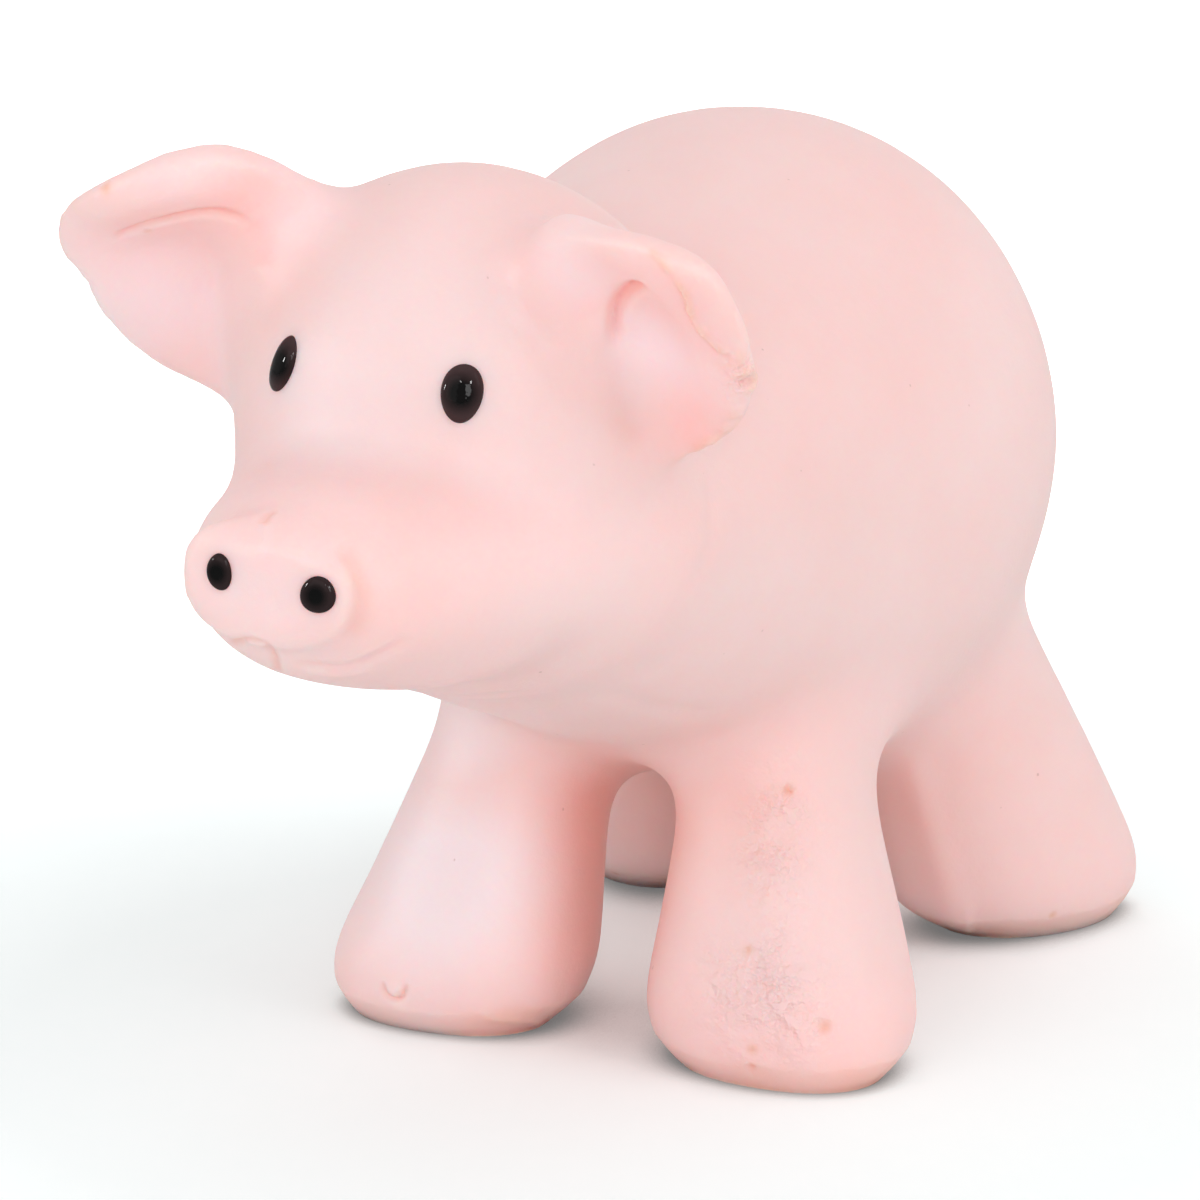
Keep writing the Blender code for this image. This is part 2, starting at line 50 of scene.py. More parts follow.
# %% [markdown]
# ## Where the photographer stood
#
# The view is set first, because small marks are placed through it later: a mark seen at one pixel
# of a 1200 pixel picture lies where the line through that pixel meets the skin. The camera is
# aimed with angles round the pig, which are easier to reason about than a rotation.

# %% Camera
PICTURE_PIXELS = 1200
SENSOR_WIDTH = 36.0
FOCAL_PIXELS = 4237.51
CAMERA_TURN = math.radians(26.5)
CAMERA_TILT = math.radians(13.49)
CAMERA_DISTANCE = 0.35619
CAMERA_AIM = Vector((-0.01082, 0.01804, 0.03094))

camera_back = Vector((
    math.sin(CAMERA_TURN) * math.cos(CAMERA_TILT),
    -math.cos(CAMERA_TURN) * math.cos(CAMERA_TILT),
    math.sin(CAMERA_TILT),
))
camera_right = Vector((math.cos(CAMERA_TURN), math.sin(CAMERA_TURN), 0.0))
camera_up = camera_back.cross(camera_right)

camera = bpy.data.objects.new("camera", bpy.data.cameras.new("camera"))
bpy.context.scene.collection.objects.link(camera)
camera.location = CAMERA_AIM + camera_back * CAMERA_DISTANCE
camera.rotation_euler = camera_back.to_track_quat("Z", "Y").to_euler()
camera.data.sensor_width = SENSOR_WIDTH
camera.data.lens = FOCAL_PIXELS / PICTURE_PIXELS * SENSOR_WIDTH
camera.data.clip_start = 0.01
camera.data.clip_end = 20.0
bpy.context.scene.camera = camera
print("camera at", [round(value, 4) for value in camera.location], "lens", round(camera.data.lens, 1))


def ray_through(pixel):
    """The direction from the camera through a pixel, counted from the picture's top left corner."""
    right = (pixel[0] - PICTURE_PIXELS / 2) / FOCAL_PIXELS
    down = (pixel[1] - PICTURE_PIXELS / 2) / FOCAL_PIXELS
    return (camera_right * right - camera_up * down - camera_back).normalized()


# %% [markdown]
# ## The forms under the skin
#
# A moulded toy starts as a lump of clay: egg shapes for body and head, cones for legs, flaps for
# ears, all smeared into each other. The same can be done here with overlapping closed meshes. A
# voxel remesh turns them into one skin, and a Smooth modifier smears the joins. Sculpting by hand
# would be freer, but could not be repeated or resized.

# %% Small helpers for lofted forms
GAP = 0.0003
MIDDLE_FORWARD = 0.0011
FORM_DETAIL = 5
RING_POINTS = 64


def place(forward, up, side=0.0):
    return Vector((side, MIDDLE_FORWARD - forward, up))


def mixed(start, end, share):
    return start + (end - start) * share


def squared(value, share):
    """A sine or cosine pushed towards its ends, which squares an oval's corners."""
    return math.copysign(abs(value) ** share, value)


def ellipsoid(bm, centre, half_sizes, detail=FORM_DETAIL):
    where = Matrix.Translation(centre) @ Matrix.Diagonal((*half_sizes, 1.0))
    bmesh.ops.create_icosphere(bm, subdivisions=detail, radius=1.0, matrix=where)


def oval(centre, across, along, half_sizes, corner_share=1.0):
    ring = []
    for index in range(RING_POINTS):
        angle = math.tau * index / RING_POINTS
        wide = half_sizes[0] * squared(math.cos(angle), corner_share)
        long = half_sizes[1] * squared(math.sin(angle), corner_share)
        ring.append(centre + across * wide + along * long)
    return ring


def loft(bm, rings):
    """A closed skin through rings of points, capped at both ends."""
    loops = [[bm.verts.new(point) for point in ring] for ring in rings]
    for lower, upper in zip(loops, loops[1:]):
        for index in range(len(lower)):
            after = (index + 1) % len(lower)
            bm.faces.new((lower[index], lower[after], upper[after], upper[index]))
    bm.faces.new(list(reversed(loops[0])))
    bm.faces.new(loops[-1])


def add_mesh(bm, mesh):
    bm.from_mesh(mesh)
    bpy.data.meshes.remove(mesh)


def to_mesh(name, bm):
    bmesh.ops.recalc_face_normals(bm, faces=bm.faces)
    mesh = bpy.data.meshes.new(name)
    bm.to_mesh(mesh)
    bm.free()
    return mesh


print("helpers ready")

# %% [markdown]
# ## Trunk
#
# The barrel, the chest and the neck are three eggs. A convex hull drawn over all three gives the
# taut, pear shaped trunk of a rubber casting, with no dents between the eggs.

# %% Trunk
BARREL_FORWARD = -0.0217
BARREL_UP = 0.0444
BARREL_HALF_WIDTH = 0.0265
BARREL_HALF_LENGTH = 0.0255
BARREL_HALF_HEIGHT = 0.0283
CHEST_FORWARD = -0.0044
CHEST_UP = 0.0450
CHEST_HALF_WIDTH = 0.0216
CHEST_HALF_LENGTH = 0.0178
CHEST_HALF_HEIGHT = 0.0216
NECK_FORWARD = 0.0212
NECK_UP = 0.0474
NECK_HALF_WIDTH = 0.0190
NECK_HALF_LENGTH = 0.0120
NECK_HALF_HEIGHT = 0.0156


def trunk(bm, inset=0.0):
    cloud = bmesh.new()
    for centre, half_sizes in (
        (place(BARREL_FORWARD, BARREL_UP), (BARREL_HALF_WIDTH, BARREL_HALF_LENGTH, BARREL_HALF_HEIGHT)),
        (place(CHEST_FORWARD, CHEST_UP), (CHEST_HALF_WIDTH, CHEST_HALF_LENGTH, CHEST_HALF_HEIGHT)),
        (place(NECK_FORWARD, NECK_UP), (NECK_HALF_WIDTH, NECK_HALF_LENGTH, NECK_HALF_HEIGHT)),
    ):
        ellipsoid(cloud, centre, [half_size - inset for half_size in half_sizes])
    bmesh.ops.delete(cloud, geom=cloud.edges[:], context="EDGES_FACES")
    bmesh.ops.convex_hull(cloud, input=cloud.verts[:])
    loose = [vert for vert in cloud.verts if not vert.link_faces]
    bmesh.ops.delete(cloud, geom=loose, context="VERTS")
    add_mesh(bm, to_mesh("trunk", cloud))


print("trunk sizes ready")

# %% [markdown]
# ## Legs
#
# Each leg is a stack of squared ovals that widens towards the sole, like a bell bottomed trouser
# leg. The front pair faces ahead and the rear pair is turned outward. The lowest few
# millimetres tuck in, as the mould rounds the edge of the sole.

# %% Legs
FRONT_FOOT_SIDE = 0.0149
FRONT_FOOT_FORWARD = 0.0024
FRONT_FOOT_HALF_WIDTH = 0.0153
FRONT_FOOT_HALF_LENGTH = 0.0098
FRONT_HIP_SIDE = 0.0113
FRONT_HIP_FORWARD = -0.0050
FRONT_HIP_HALF_WIDTH = 0.0072
FRONT_HIP_HALF_LENGTH = 0.0088
FRONT_LEG_TURN = math.radians(-2)
REAR_FOOT_SIDE = 0.0183
REAR_FOOT_FORWARD = -0.0433
REAR_FOOT_HALF_WIDTH = 0.0138
REAR_FOOT_HALF_LENGTH = 0.0090
REAR_HIP_SIDE = 0.0131
REAR_HIP_FORWARD = -0.0327
REAR_HIP_HALF_WIDTH = 0.0120
REAR_HIP_HALF_LENGTH = 0.0075
REAR_LEG_TURN = math.radians(60)
REAR_LEG_TOP_SHARE = 1.3
HIP_UP = 0.0240
SOLE_ROUNDING = 0.0056
SOLE_LEVEL_SHARES = (0.0, 0.06, 0.16, 0.32, 0.6, 1.0)
FRONT_SOLE_SHARE = 0.52
REAR_SOLE_SHARE = 0.60
BELOW_FLOOR_SHARE = 0.35
FRONT_CORNER_SHARE = 0.85
REAR_CORNER_SHARE = 0.95
LEG_SECTIONS = 8
FRONT_LEG_FLARE = 0.50
REAR_LEG_FLARE = 1.0
BELOW_FLOOR = 0.006


def leg(bm, foot, hip, top, foot_half_sizes, hip_half_sizes, turn, flare, sole_share, corner_share, inset, floor):
    across = Vector((math.cos(turn), math.sin(turn), 0.0))
    along = Vector((-math.sin(turn), math.cos(turn), 0.0))
    shank = max(floor, 0.0) + SOLE_ROUNDING
    levels = [floor] if floor < 0.0 else []
    levels += [mixed(max(floor, 0.0), shank, share) for share in SOLE_LEVEL_SHARES]
    levels += [mixed(shank, HIP_UP, (step + 1) / LEG_SECTIONS) for step in range(LEG_SECTIONS)]
    levels.append(top)
    rings = []
    for level in levels:
        share = max(level / HIP_UP, 0.0)
        above_sole = min(max((level - inset) / SOLE_ROUNDING, 0.0), 1.0)
        tucked = 1.0 - (1.0 - sole_share) * (1.0 - math.sqrt(1.0 - (1.0 - above_sole) ** 2))
        if level < 0.0:
            tucked = BELOW_FLOOR_SHARE
        centre = mixed(foot, hip, share)
        centre.z = level
        half_sizes = [
            mixed(at_foot, at_hip, min(share, 1.0) ** flare) * tucked - inset
            for at_foot, at_hip in zip(foot_half_sizes, hip_half_sizes)
        ]
        rings.append(oval(centre, across, along, half_sizes, corner_share))
    loft(bm, rings)


def legs(bm, inset=0.0, floor=-BELOW_FLOOR):
    for side in (1, -1):
        leg(
            bm, place(FRONT_FOOT_FORWARD, 0.0, side * FRONT_FOOT_SIDE),
            place(FRONT_HIP_FORWARD, HIP_UP, side * FRONT_HIP_SIDE), CHEST_UP,
            (FRONT_FOOT_HALF_WIDTH, FRONT_FOOT_HALF_LENGTH),
            (FRONT_HIP_HALF_WIDTH, FRONT_HIP_HALF_LENGTH), side * FRONT_LEG_TURN, FRONT_LEG_FLARE,
            FRONT_SOLE_SHARE, FRONT_CORNER_SHARE, inset, floor,
        )
        leg(
            bm, place(REAR_FOOT_FORWARD, 0.0, side * REAR_FOOT_SIDE),
            place(REAR_HIP_FORWARD, HIP_UP, side * REAR_HIP_SIDE), HIP_UP * REAR_LEG_TOP_SHARE,
            (REAR_FOOT_HALF_WIDTH, REAR_FOOT_HALF_LENGTH),
            (REAR_HIP_HALF_WIDTH, REAR_HIP_HALF_LENGTH), side * REAR_LEG_TURN, REAR_LEG_FLARE,
            REAR_SOLE_SHARE, REAR_CORNER_SHARE, inset, floor,
        )


print("leg sizes ready")

# %% [markdown]
# ## Head and snout
#
# One egg is the skull, a flatter one the jowls, and a loft of ovals draws the jowls out into the
# snout. The snout ends in a nearly flat disc with a rounded rim.

# %% Head and snout
HEAD_FORWARD = 0.0267
HEAD_UP = 0.0566
HEAD_HALF_WIDTH = 0.0179
HEAD_HALF_LENGTH = 0.0152
HEAD_HALF_HEIGHT = 0.0172
JOWL_FORWARD = 0.0241
JOWL_UP = 0.0466
JOWL_HALF_WIDTH = 0.0188
JOWL_HALF_LENGTH = 0.0165
JOWL_HALF_HEIGHT = 0.0127
MUZZLE_ROOT_HALF_WIDTH = 0.0180
MUZZLE_ROOT_HALF_HEIGHT = 0.0105
MUZZLE_REACH = 0.0299
MUZZLE_HALF_WIDTH = 0.0117
MUZZLE_HALF_HEIGHT = 0.0075
MUZZLE_RISE = 0.0008
MUZZLE_SECTION_SHARES = (
    # along, width, height
    (0.00, 1.00, 1.00),
    (0.40, 0.62, 0.55),
    (0.70, 0.08, 0.00),
    (0.80, -0.14, -0.08),
    (0.88, -0.40, -0.34),
    (0.96, -0.72, -0.85),
)
DISC_FORWARD = 0.0545
DISC_UP = 0.0484
DISC_HALF_WIDTH = 0.0069
DISC_HALF_HEIGHT = 0.0047
DISC_SIDE = -0.0008
DISC_CORNER_SHARE = 0.85
DISC_SECTION_SHARES = (
    # behind the face as shares of the half height, then size
    (0.95, 0.80),
    (0.42, 0.96),
    (0.24, 1.00),
    (0.10, 0.97),
    (0.02, 0.86),
    (0.00, 0.60),
)


def muzzle(bm, inset=0.0):
    root = place(JOWL_FORWARD, JOWL_UP)
    tip = place(JOWL_FORWARD + MUZZLE_REACH, JOWL_UP + MUZZLE_RISE)
    rings = []
    for along, wide, high in MUZZLE_SECTION_SHARES:
        centre = mixed(root, tip, along)
        centre.y += inset * along
        half_width = mixed(MUZZLE_HALF_WIDTH, MUZZLE_ROOT_HALF_WIDTH, wide) - inset
        half_height = mixed(MUZZLE_HALF_HEIGHT, MUZZLE_ROOT_HALF_HEIGHT, high) - inset
        half_sizes = (max(half_width, GAP), max(half_height, GAP))
        rings.append(oval(centre, Vector((1.0, 0.0, 0.0)), Vector((0.0, 0.0, 1.0)), half_sizes))
    loft(bm, rings)


def snout_disc(bm):
    rings = []
    for behind, size in DISC_SECTION_SHARES:
        centre = place(DISC_FORWARD - DISC_HALF_HEIGHT * behind, DISC_UP, DISC_SIDE)
        half_sizes = (DISC_HALF_WIDTH * size, DISC_HALF_HEIGHT * size)
        across, along = Vector((1.0, 0.0, 0.0)), Vector((0.0, 0.0, 1.0))
        rings.append(oval(centre, across, along, half_sizes, DISC_CORNER_SHARE))
    loft(bm, rings)


CHIN_FORWARD = 0.0368
CHIN_UP = 0.0409
CHIN_HALF_SIZES = (0.0110, 0.0114, 0.0028)


def head(bm, inset=0.0):
    skull = (HEAD_HALF_WIDTH, HEAD_HALF_LENGTH, HEAD_HALF_HEIGHT)
    jowl = (JOWL_HALF_WIDTH, JOWL_HALF_LENGTH, JOWL_HALF_HEIGHT)
    ellipsoid(bm, place(HEAD_FORWARD, HEAD_UP), [half_size - inset for half_size in skull])
    ellipsoid(bm, place(JOWL_FORWARD, JOWL_UP), [half_size - inset for half_size in jowl])
    muzzle(bm, inset)


print("head sizes ready")

# %% [markdown]
# ## Ears
#
# An ear is a cupped flap that grows out of the side of the head and leans forward. Its rim is a
# smooth curve through a short table: how far down the root line each point starts, and how far
# out, forward and up it reaches, as shares of the flap's spread.

# %% Ears
EAR_ROOT_TOP_SIDE_SHARE = 0.42
EAR_ROOT_BOTTOM_SIDE_SHARE = 0.81
EAR_ROOT_TOP_RISE_SHARE = 0.72
EAR_ROOT_BOTTOM_RISE_SHARE = -0.12
EAR_ROOT_FORWARD_SHARE = -0.11
EAR_REACH_SHARE = 0.905
EAR_FLARE_SHARE = 1.14
EAR_LIFT_SHARE = 0.53
EAR_EDGE_SHARE = 0.55
EAR_TAPER_SHARE = 0.6
EAR_STATIONS = 36
EAR_THICKNESS = 0.0038
EAR_CUP = 0.0012
RIGHT_RIM_SHARES = (
    # down the root line, out, forward, up
    (0.00, 0.13, 0.27, 0.38),
    (0.07, 0.17, 0.64, 0.73),
    (0.14, 0.31, 0.86, 0.97),
    (0.22, 0.57, 0.96, 0.955),
    (0.30, 0.75, 0.99, 0.90),
    (0.39, 0.97, 0.86, 0.80),
    (0.48, 1.00, 0.79, 0.67),
    (0.57, 0.90, 0.66, 0.51),
    (0.66, 0.87, 0.55, 0.39),
    (0.76, 0.77, 0.40, 0.23),
    (0.86, 0.59, 0.25, 0.06),
    (1.00, 0.26, 0.22, -0.02),
)
LEFT_RIM_SHARES = (
    (0.00, 0.15, 0.20, 0.12),
    (0.07, 0.30, 0.66, 0.40),
    (0.14, 0.46, 0.86, 0.62),
    (0.22, 0.61, 0.94, 0.76),
    (0.30, 0.75, 0.97, 0.83),
    (0.39, 0.94, 0.86, 0.80),
    (0.48, 1.00, 0.79, 0.69),
    (0.57, 0.98, 0.66, 0.52),
    (0.66, 0.93, 0.55, 0.39),
    (0.76, 0.80, 0.40, 0.22),
    (0.86, 0.61, 0.25, 0.04),
    (1.00, 0.30, 0.22, -0.05),
)
EAR_RIM_SHARES = {1: LEFT_RIM_SHARES, -1: RIGHT_RIM_SHARES}
EAR_ROLL_RADIUS = 0.0021
EAR_ROLL_LIFT = 0.0002
RIGHT_ROLL_SHARES = (
    # down the root line, along the reach, thickness
    (0.12, 0.32, 0.95),
    (0.15, 0.47, 1.10),
    (0.155, 0.62, 1.20),
    (0.17, 0.79, 1.20),
    (0.20, 0.86, 1.08),
    (0.255, 0.87, 1.00),
    (0.31, 0.89, 0.93),
    (0.36, 0.91, 0.84),
    (0.42, 0.93, 0.66),
    (0.48, 0.95, 0.45),
)
LEFT_ROLL_SHARES = (
    (0.12, 0.30, 0.90),
    (0.17, 0.42, 1.10),
    (0.28, 0.60, 1.10),
    (0.36, 0.80, 1.00),
    (0.43, 0.85, 0.95),
    (0.52, 0.85, 0.90),
    (0.60, 0.84, 0.85),
    (0.68, 0.85, 0.70),
    (0.76, 0.87, 0.50),
)
EAR_ROLL_SHARES = {1: LEFT_ROLL_SHARES, -1: RIGHT_ROLL_SHARES}
EAR_ROLL_BEADS = 90
TEMPLE_STOPS = (
    # forward, up, side, radius
    (0.0310, 0.0668, 0.0078, 0.0036),
    (0.0345, 0.0682, 0.0116, 0.0033),
    (0.0366, 0.0705, 0.0127, 0.0026),
)
TEMPLE_EDGE_STOPS = (
    (0.0345, 0.0682, 0.0116, 0.0033),
    (0.0335, 0.0645, 0.0134, 0.0028),
    (0.0318, 0.0605, 0.0146, 0.0020),
)

TEMPLE_SLIM_SHARES = {1: 1.0, -1: 0.82}


def smooth_share(rows, share):
    """The row at this share of the way down, on a smooth curve through all the rows."""
    index = max(place_in for place_in, row in enumerate(rows[:-1]) if row[0] <= share)
    before, low, high = rows[max(index - 1, 0)], rows[index], rows[index + 1]
    after = rows[min(index + 2, len(rows) - 1)]
    part = (share - low[0]) / (high[0] - low[0])
    found = []
    for p0, p1, p2, p3 in zip(before[1:], low[1:], high[1:], after[1:]):
        bend = 2 * p0 - 5 * p1 + 4 * p2 - p3
        twist = 3 * (p1 - p2) + p3 - p0
        found.append((2 * p1 + (p2 - p0) * part + bend * part**2 + twist * part**3) / 2)
    return found


def ear_root(side, side_share, rise_share):
    return place(
        HEAD_FORWARD + HEAD_HALF_LENGTH * EAR_ROOT_FORWARD_SHARE,
        HEAD_UP + HEAD_HALF_HEIGHT * rise_share,
        side * HEAD_HALF_WIDTH * side_share,
    )


def ear_station(side, share):
    """Root point, reach to the rim, and the way the back of the flap faces, at a share down the root."""
    top = ear_root(side, EAR_ROOT_TOP_SIDE_SHARE, EAR_ROOT_TOP_RISE_SHARE)
    bottom = ear_root(side, EAR_ROOT_BOTTOM_SIDE_SHARE, EAR_ROOT_BOTTOM_RISE_SHARE)
    spread = Vector((
        side * HEAD_HALF_WIDTH * EAR_REACH_SHARE,
        -HEAD_HALF_LENGTH * EAR_FLARE_SHARE,
        HEAD_HALF_HEIGHT * EAR_LIFT_SHARE,
    ))
    reach = Vector(smooth_share(EAR_RIM_SHARES[side], share)) * spread
    facing = reach.cross(bottom - top).normalized() * side
    return mixed(top, bottom, share), reach, facing


def ear(bm, side):
    rings = []
    for station in range(EAR_STATIONS + 1):
        share = station / EAR_STATIONS
        root, reach, facing = ear_station(side, share)
        taper = math.sqrt(1.0 - EAR_TAPER_SHARE * (2 * share - 1) ** 2)
        ring = []
        for index in range(RING_POINTS):
            angle = math.tau * index / RING_POINTS
            run = (1 - squared(math.cos(angle), EAR_EDGE_SHARE)) / 2
            sag = EAR_CUP * math.sin(angle / 2) ** 2
            rise = EAR_THICKNESS / 2 * taper * squared(math.sin(angle), EAR_EDGE_SHARE) - sag
            ring.append(root + reach * run + facing * rise)
        rings.append(ring)
    loft(bm, rings)


def ear_roll(bm, side):
    """The thick roll along the upper rim, strung as overlapping balls."""
    rows = EAR_ROLL_SHARES[side]
    first, last = rows[0][0], rows[-1][0]
    for bead in range(EAR_ROLL_BEADS + 1):
        share = mixed(first, last, bead / EAR_ROLL_BEADS)
        along, thickness = smooth_share(rows + ((1.0, 1.0, 0.3),), share)
        root, reach, facing = ear_station(side, share)
        centre = root + reach * along - facing * (EAR_ROLL_LIFT + EAR_CUP * along)
        ellipsoid(bm, centre, [EAR_ROLL_RADIUS * thickness] * 3, 3)


def temple(bm, side):
    """Fills the corner between brow and ear, so that the ear grows out of the head."""
    slim = TEMPLE_SLIM_SHARES[side]
    for stops in (TEMPLE_STOPS, TEMPLE_EDGE_STOPS):
        for one, two in zip(stops, stops[1:]):
            for step in range(9):
                forward, up, aside, radius = (mixed(a, b, step / 8) for a, b in zip(one, two))
                ellipsoid(bm, place(forward, up, side * aside), [radius * slim] * 3, 3)


print("ear sizes ready")

# %% [markdown]
# ## Tail
#
# The tail is a flat curl that the mould forms on the rump: a round rod along a tightening spiral.

# %% Tail
TAIL_RISE_SHARE = 0.22
TAIL_COIL_RADIUS = 0.0032
TAIL_ROD_RADIUS = 0.0016
TAIL_STAND_OFF = 0.0016
TAIL_TURNS = 1.4
TAIL_TIP_SHARE = 0.5
TAIL_STEPS = 60


def tail(bm):
    rump_up = BARREL_UP + BARREL_HALF_HEIGHT * TAIL_RISE_SHARE
    rump = place(BARREL_FORWARD - BARREL_HALF_LENGTH, rump_up)
    rings = []
    for step in range(TAIL_STEPS + 1):
        share = step / TAIL_STEPS
        angle = math.tau * TAIL_TURNS * share
        radius = TAIL_COIL_RADIUS * mixed(1.0, TAIL_TIP_SHARE, share)
        spoke = Vector((math.cos(angle), 0.0, math.sin(angle)))
        middle = rump + spoke * radius
        middle.y += TAIL_STAND_OFF * (share - TAIL_TIP_SHARE)
        rings.append(oval(middle, spoke, Vector((0.0, 1.0, 0.0)), (TAIL_ROD_RADIUS, TAIL_ROD_RADIUS)))
    loft(bm, rings)


print("tail sizes ready")

# %% [markdown]
# ## One skin
#
# The forms are joined in three rounds, because the joins differ: body and legs flow together
# widely, the head a little less, and ears, snout disc and tail keep tight corners. Each round is a
# voxel remesh, which ignores how the forms overlap, then a Smooth modifier. Smoothing with factor
# one half spreads by about one voxel for every four rounds squared, so the count comes from the
# width of the join that is wanted.

# %% Blend the forms
BODY_BLEND = 0.0029
HEAD_BLEND = 0.0026
SKIN_BLEND = 0.0009
ROUGH_GRAIN = 0.0008
FINE_GRAIN = 0.0006


def evaluated_mesh(obj):
    bpy.context.view_layer.update()
    graph = bpy.context.evaluated_depsgraph_get()
    mesh = bpy.data.meshes.new_from_object(obj.evaluated_get(graph))
    bpy.data.objects.remove(obj, do_unlink=True)
    return mesh


def linked(name, mesh):
    obj = bpy.data.objects.new(name, mesh)
    bpy.context.scene.collection.objects.link(obj)
    return obj


def blended(name, bm, grain, blend):
    obj = linked(name, to_mesh(name, bm))
    remesh = obj.modifiers.new("remesh", "REMESH")
    remesh.mode = "VOXEL"
    remesh.voxel_size = grain
    relax = obj.modifiers.new("relax", "SMOOTH")
    relax.factor = 0.5
    relax.iterations = max(1, round((2 * blend / grain) ** 2))
    return evaluated_mesh(obj)


body_form = bmesh.new()
trunk(body_form)
legs(body_form)
head_form = bmesh.new()
head(head_form)
ellipsoid(head_form, place(CHIN_FORWARD, CHIN_UP), CHIN_HALF_SIZES)
add_mesh(head_form, blended("body_form", body_form, ROUGH_GRAIN, BODY_BLEND))
whole_form = bmesh.new()
add_mesh(whole_form, blended("head_form", head_form, ROUGH_GRAIN, HEAD_BLEND))
snout_disc(whole_form)
for side in (1, -1):
    ear(whole_form, side)
    ear_roll(whole_form, side)
    temple(whole_form, side)
tail(whole_form)
skin_mesh = blended("skin", whole_form, FINE_GRAIN, SKIN_BLEND)
print("skin has", len(skin_mesh.polygons), "faces before subdividing")

# %% [markdown]
# ## Points of the skin as arrays
#
# Everything from here on moves points of the skin. With the points in arrays, one mark is a few
# lines of arithmetic, and a search tree of the skin answers where a line of sight lands. Marks are
# drawn as short paths over the picture, rounded with a smooth curve, and carried onto the skin.

# %% Arrays and sight lines
def read_array(collection, name, width, kind=float):
    flat = np.empty(len(collection) * width, dtype=kind)
    collection.foreach_get(name, flat)
    return flat.reshape(-1, width)


def sight_tree(mesh):
    return BVHTree.FromPolygons(
        [tuple(vert.co) for vert in mesh.vertices], [tuple(face.vertices) for face in mesh.polygons]
    )


def curved(stops, steps=8):
    """A smooth curve through the stops, as a list of tuples."""
    path = []
    for index in range(len(stops) - 1):
        p0, p1 = stops[max(index - 1, 0)], stops[index]
        p2, p3 = stops[index + 1], stops[min(index + 2, len(stops) - 1)]
        for step in range(steps):
            part = step / steps
            path.append(tuple(
                (2 * b + (c - a) * part + (2 * a - 5 * b + 4 * c - d) * part**2
                 + (3 * (b - c) + d - a) * part**3) / 2
                for a, b, c, d in zip(p0, p1, p2, p3)
            ))
    path.append(tuple(stops[-1]))
    return path


def traced(tree, *pixels):
    """A path on the skin that is seen along a smooth curve through these pixels."""
    path = []
    for pixel in curved(pixels):
        point = tree.ray_cast(camera.location, ray_through(pixel))[0]
        if point is not None and (not path or (point - path[-1]).length > 0.0001):
            path.append(point)
    return path


def mirrored(path):
    return [Vector((-stop.x, stop.y, stop.z)) for stop in path]


def near_path(cloud, path):
    """How far each point is from the path, and its share of the way along the path."""
    stops = np.array([tuple(stop) for stop in path])
    lengths = np.linalg.norm(np.diff(stops, axis=0), axis=1)
    done = np.concatenate(([0.0], np.cumsum(lengths)))
    best, share = np.full(len(cloud), np.inf), np.zeros(len(cloud))
    for start, end, length, before in zip(stops, stops[1:], lengths, done):
        step = (end - start) / length
        run = np.clip((cloud - start) @ step, 0.0, length)
        away = np.linalg.norm(cloud - start - run[:, None] * step, axis=1)
        closer = away < best
        best[closer] = away[closer]
        share[closer] = (before + run[closer]) / done[-1]
    return best, share


rough_sight = sight_tree(skin_mesh)
print("chin found at", [round(value, 4) for value in traced(rough_sight, (420, 660), (430, 660))[0]])

# %% [markdown]
# ## Softer joins
#
# Some joins are softer than the rest: the lower root of each ear, the jaw above the chest, and
# the hollow between belly and hind leg. Points near them are averaged with their neighbours, the
# more the nearer they are. It works like a thumb that wets and rubs clay.

# %% Rub the joins
def rubbed(mesh, joins, rounds):
    """Averages the points near each join; a join is a path, a reach and a strength."""
    cloud = read_array(mesh.vertices, "co", 3)
    weight = np.zeros(len(cloud))
    for path, reach, strength in joins:
        away, _ = near_path(cloud, path)
        weight = np.maximum(weight, strength * np.exp(-((away / reach) ** 2)))
    ends = read_array(mesh.edges, "vertices", 2, np.int32)
    one, two = ends[:, 0], ends[:, 1]
    count = np.bincount(one, minlength=len(cloud)) + np.bincount(two, minlength=len(cloud))
    for _ in range(rounds):
        for axis in range(3):
            value = cloud[:, axis]
            total = np.bincount(one, value[two], len(cloud)) + np.bincount(two, value[one], len(cloud))
            cloud[:, axis] = value + weight * 0.5 * (total / count - value)
    mesh.vertices.foreach_set("co", cloud.ravel())
    mesh.update()


ear_root_join = traced(rough_sight, (616, 372), (626, 400), (640, 425))
brow_join = traced(rough_sight, (510, 232), (550, 240), (590, 262))
left_top_join = traced(rough_sight, (545, 222), (575, 222), (605, 232), (635, 240))
left_fold_join = traced(rough_sight, (622, 286), (606, 303), (604, 330), (610, 360))
right_brow_join = traced(rough_sight, (252, 240), (272, 264), (305, 266), (338, 238), (350, 212))
snout_top_join = traced(rough_sight, (240, 522), (272, 516), (308, 522), (332, 538))
ear_face_join = traced(rough_sight, (668, 290), (690, 312), (708, 340), (720, 370))
groin_join = traced(rough_sight, (893, 722), (940, 700), (985, 668), (1010, 634), (1018, 606))
right_fold_join = traced(rough_sight, (88, 243), (120, 232), (160, 221), (200, 214), (240, 220))
jaw_join = traced(rough_sight, (500, 718), (545, 736), (590, 748), (625, 752))
joins = [(path, reach, strength) for path, reach, strength in (
    (ear_root_join, 0.0034, 0.9), (mirrored(ear_root_join), 0.0048, 1.0),
    (brow_join, 0.0040, 0.9), (right_brow_join, 0.0034, 1.0), (ear_face_join, 0.0022, 0.9),
    (left_top_join, 0.0036, 1.0), (left_fold_join, 0.0026, 1.0), (snout_top_join, 0.0016, 0.9),
    (jaw_join, 0.0050, 1.0), (right_fold_join, 0.0017, 1.0),
)]
rubbed(skin_mesh, joins, 120)
rubbed(skin_mesh, [(groin_join, 0.0090, 1.0), (mirrored(groin_join), 0.0090, 1.0)], 320)
print("rubbed", len(joins) + 2, "joins")

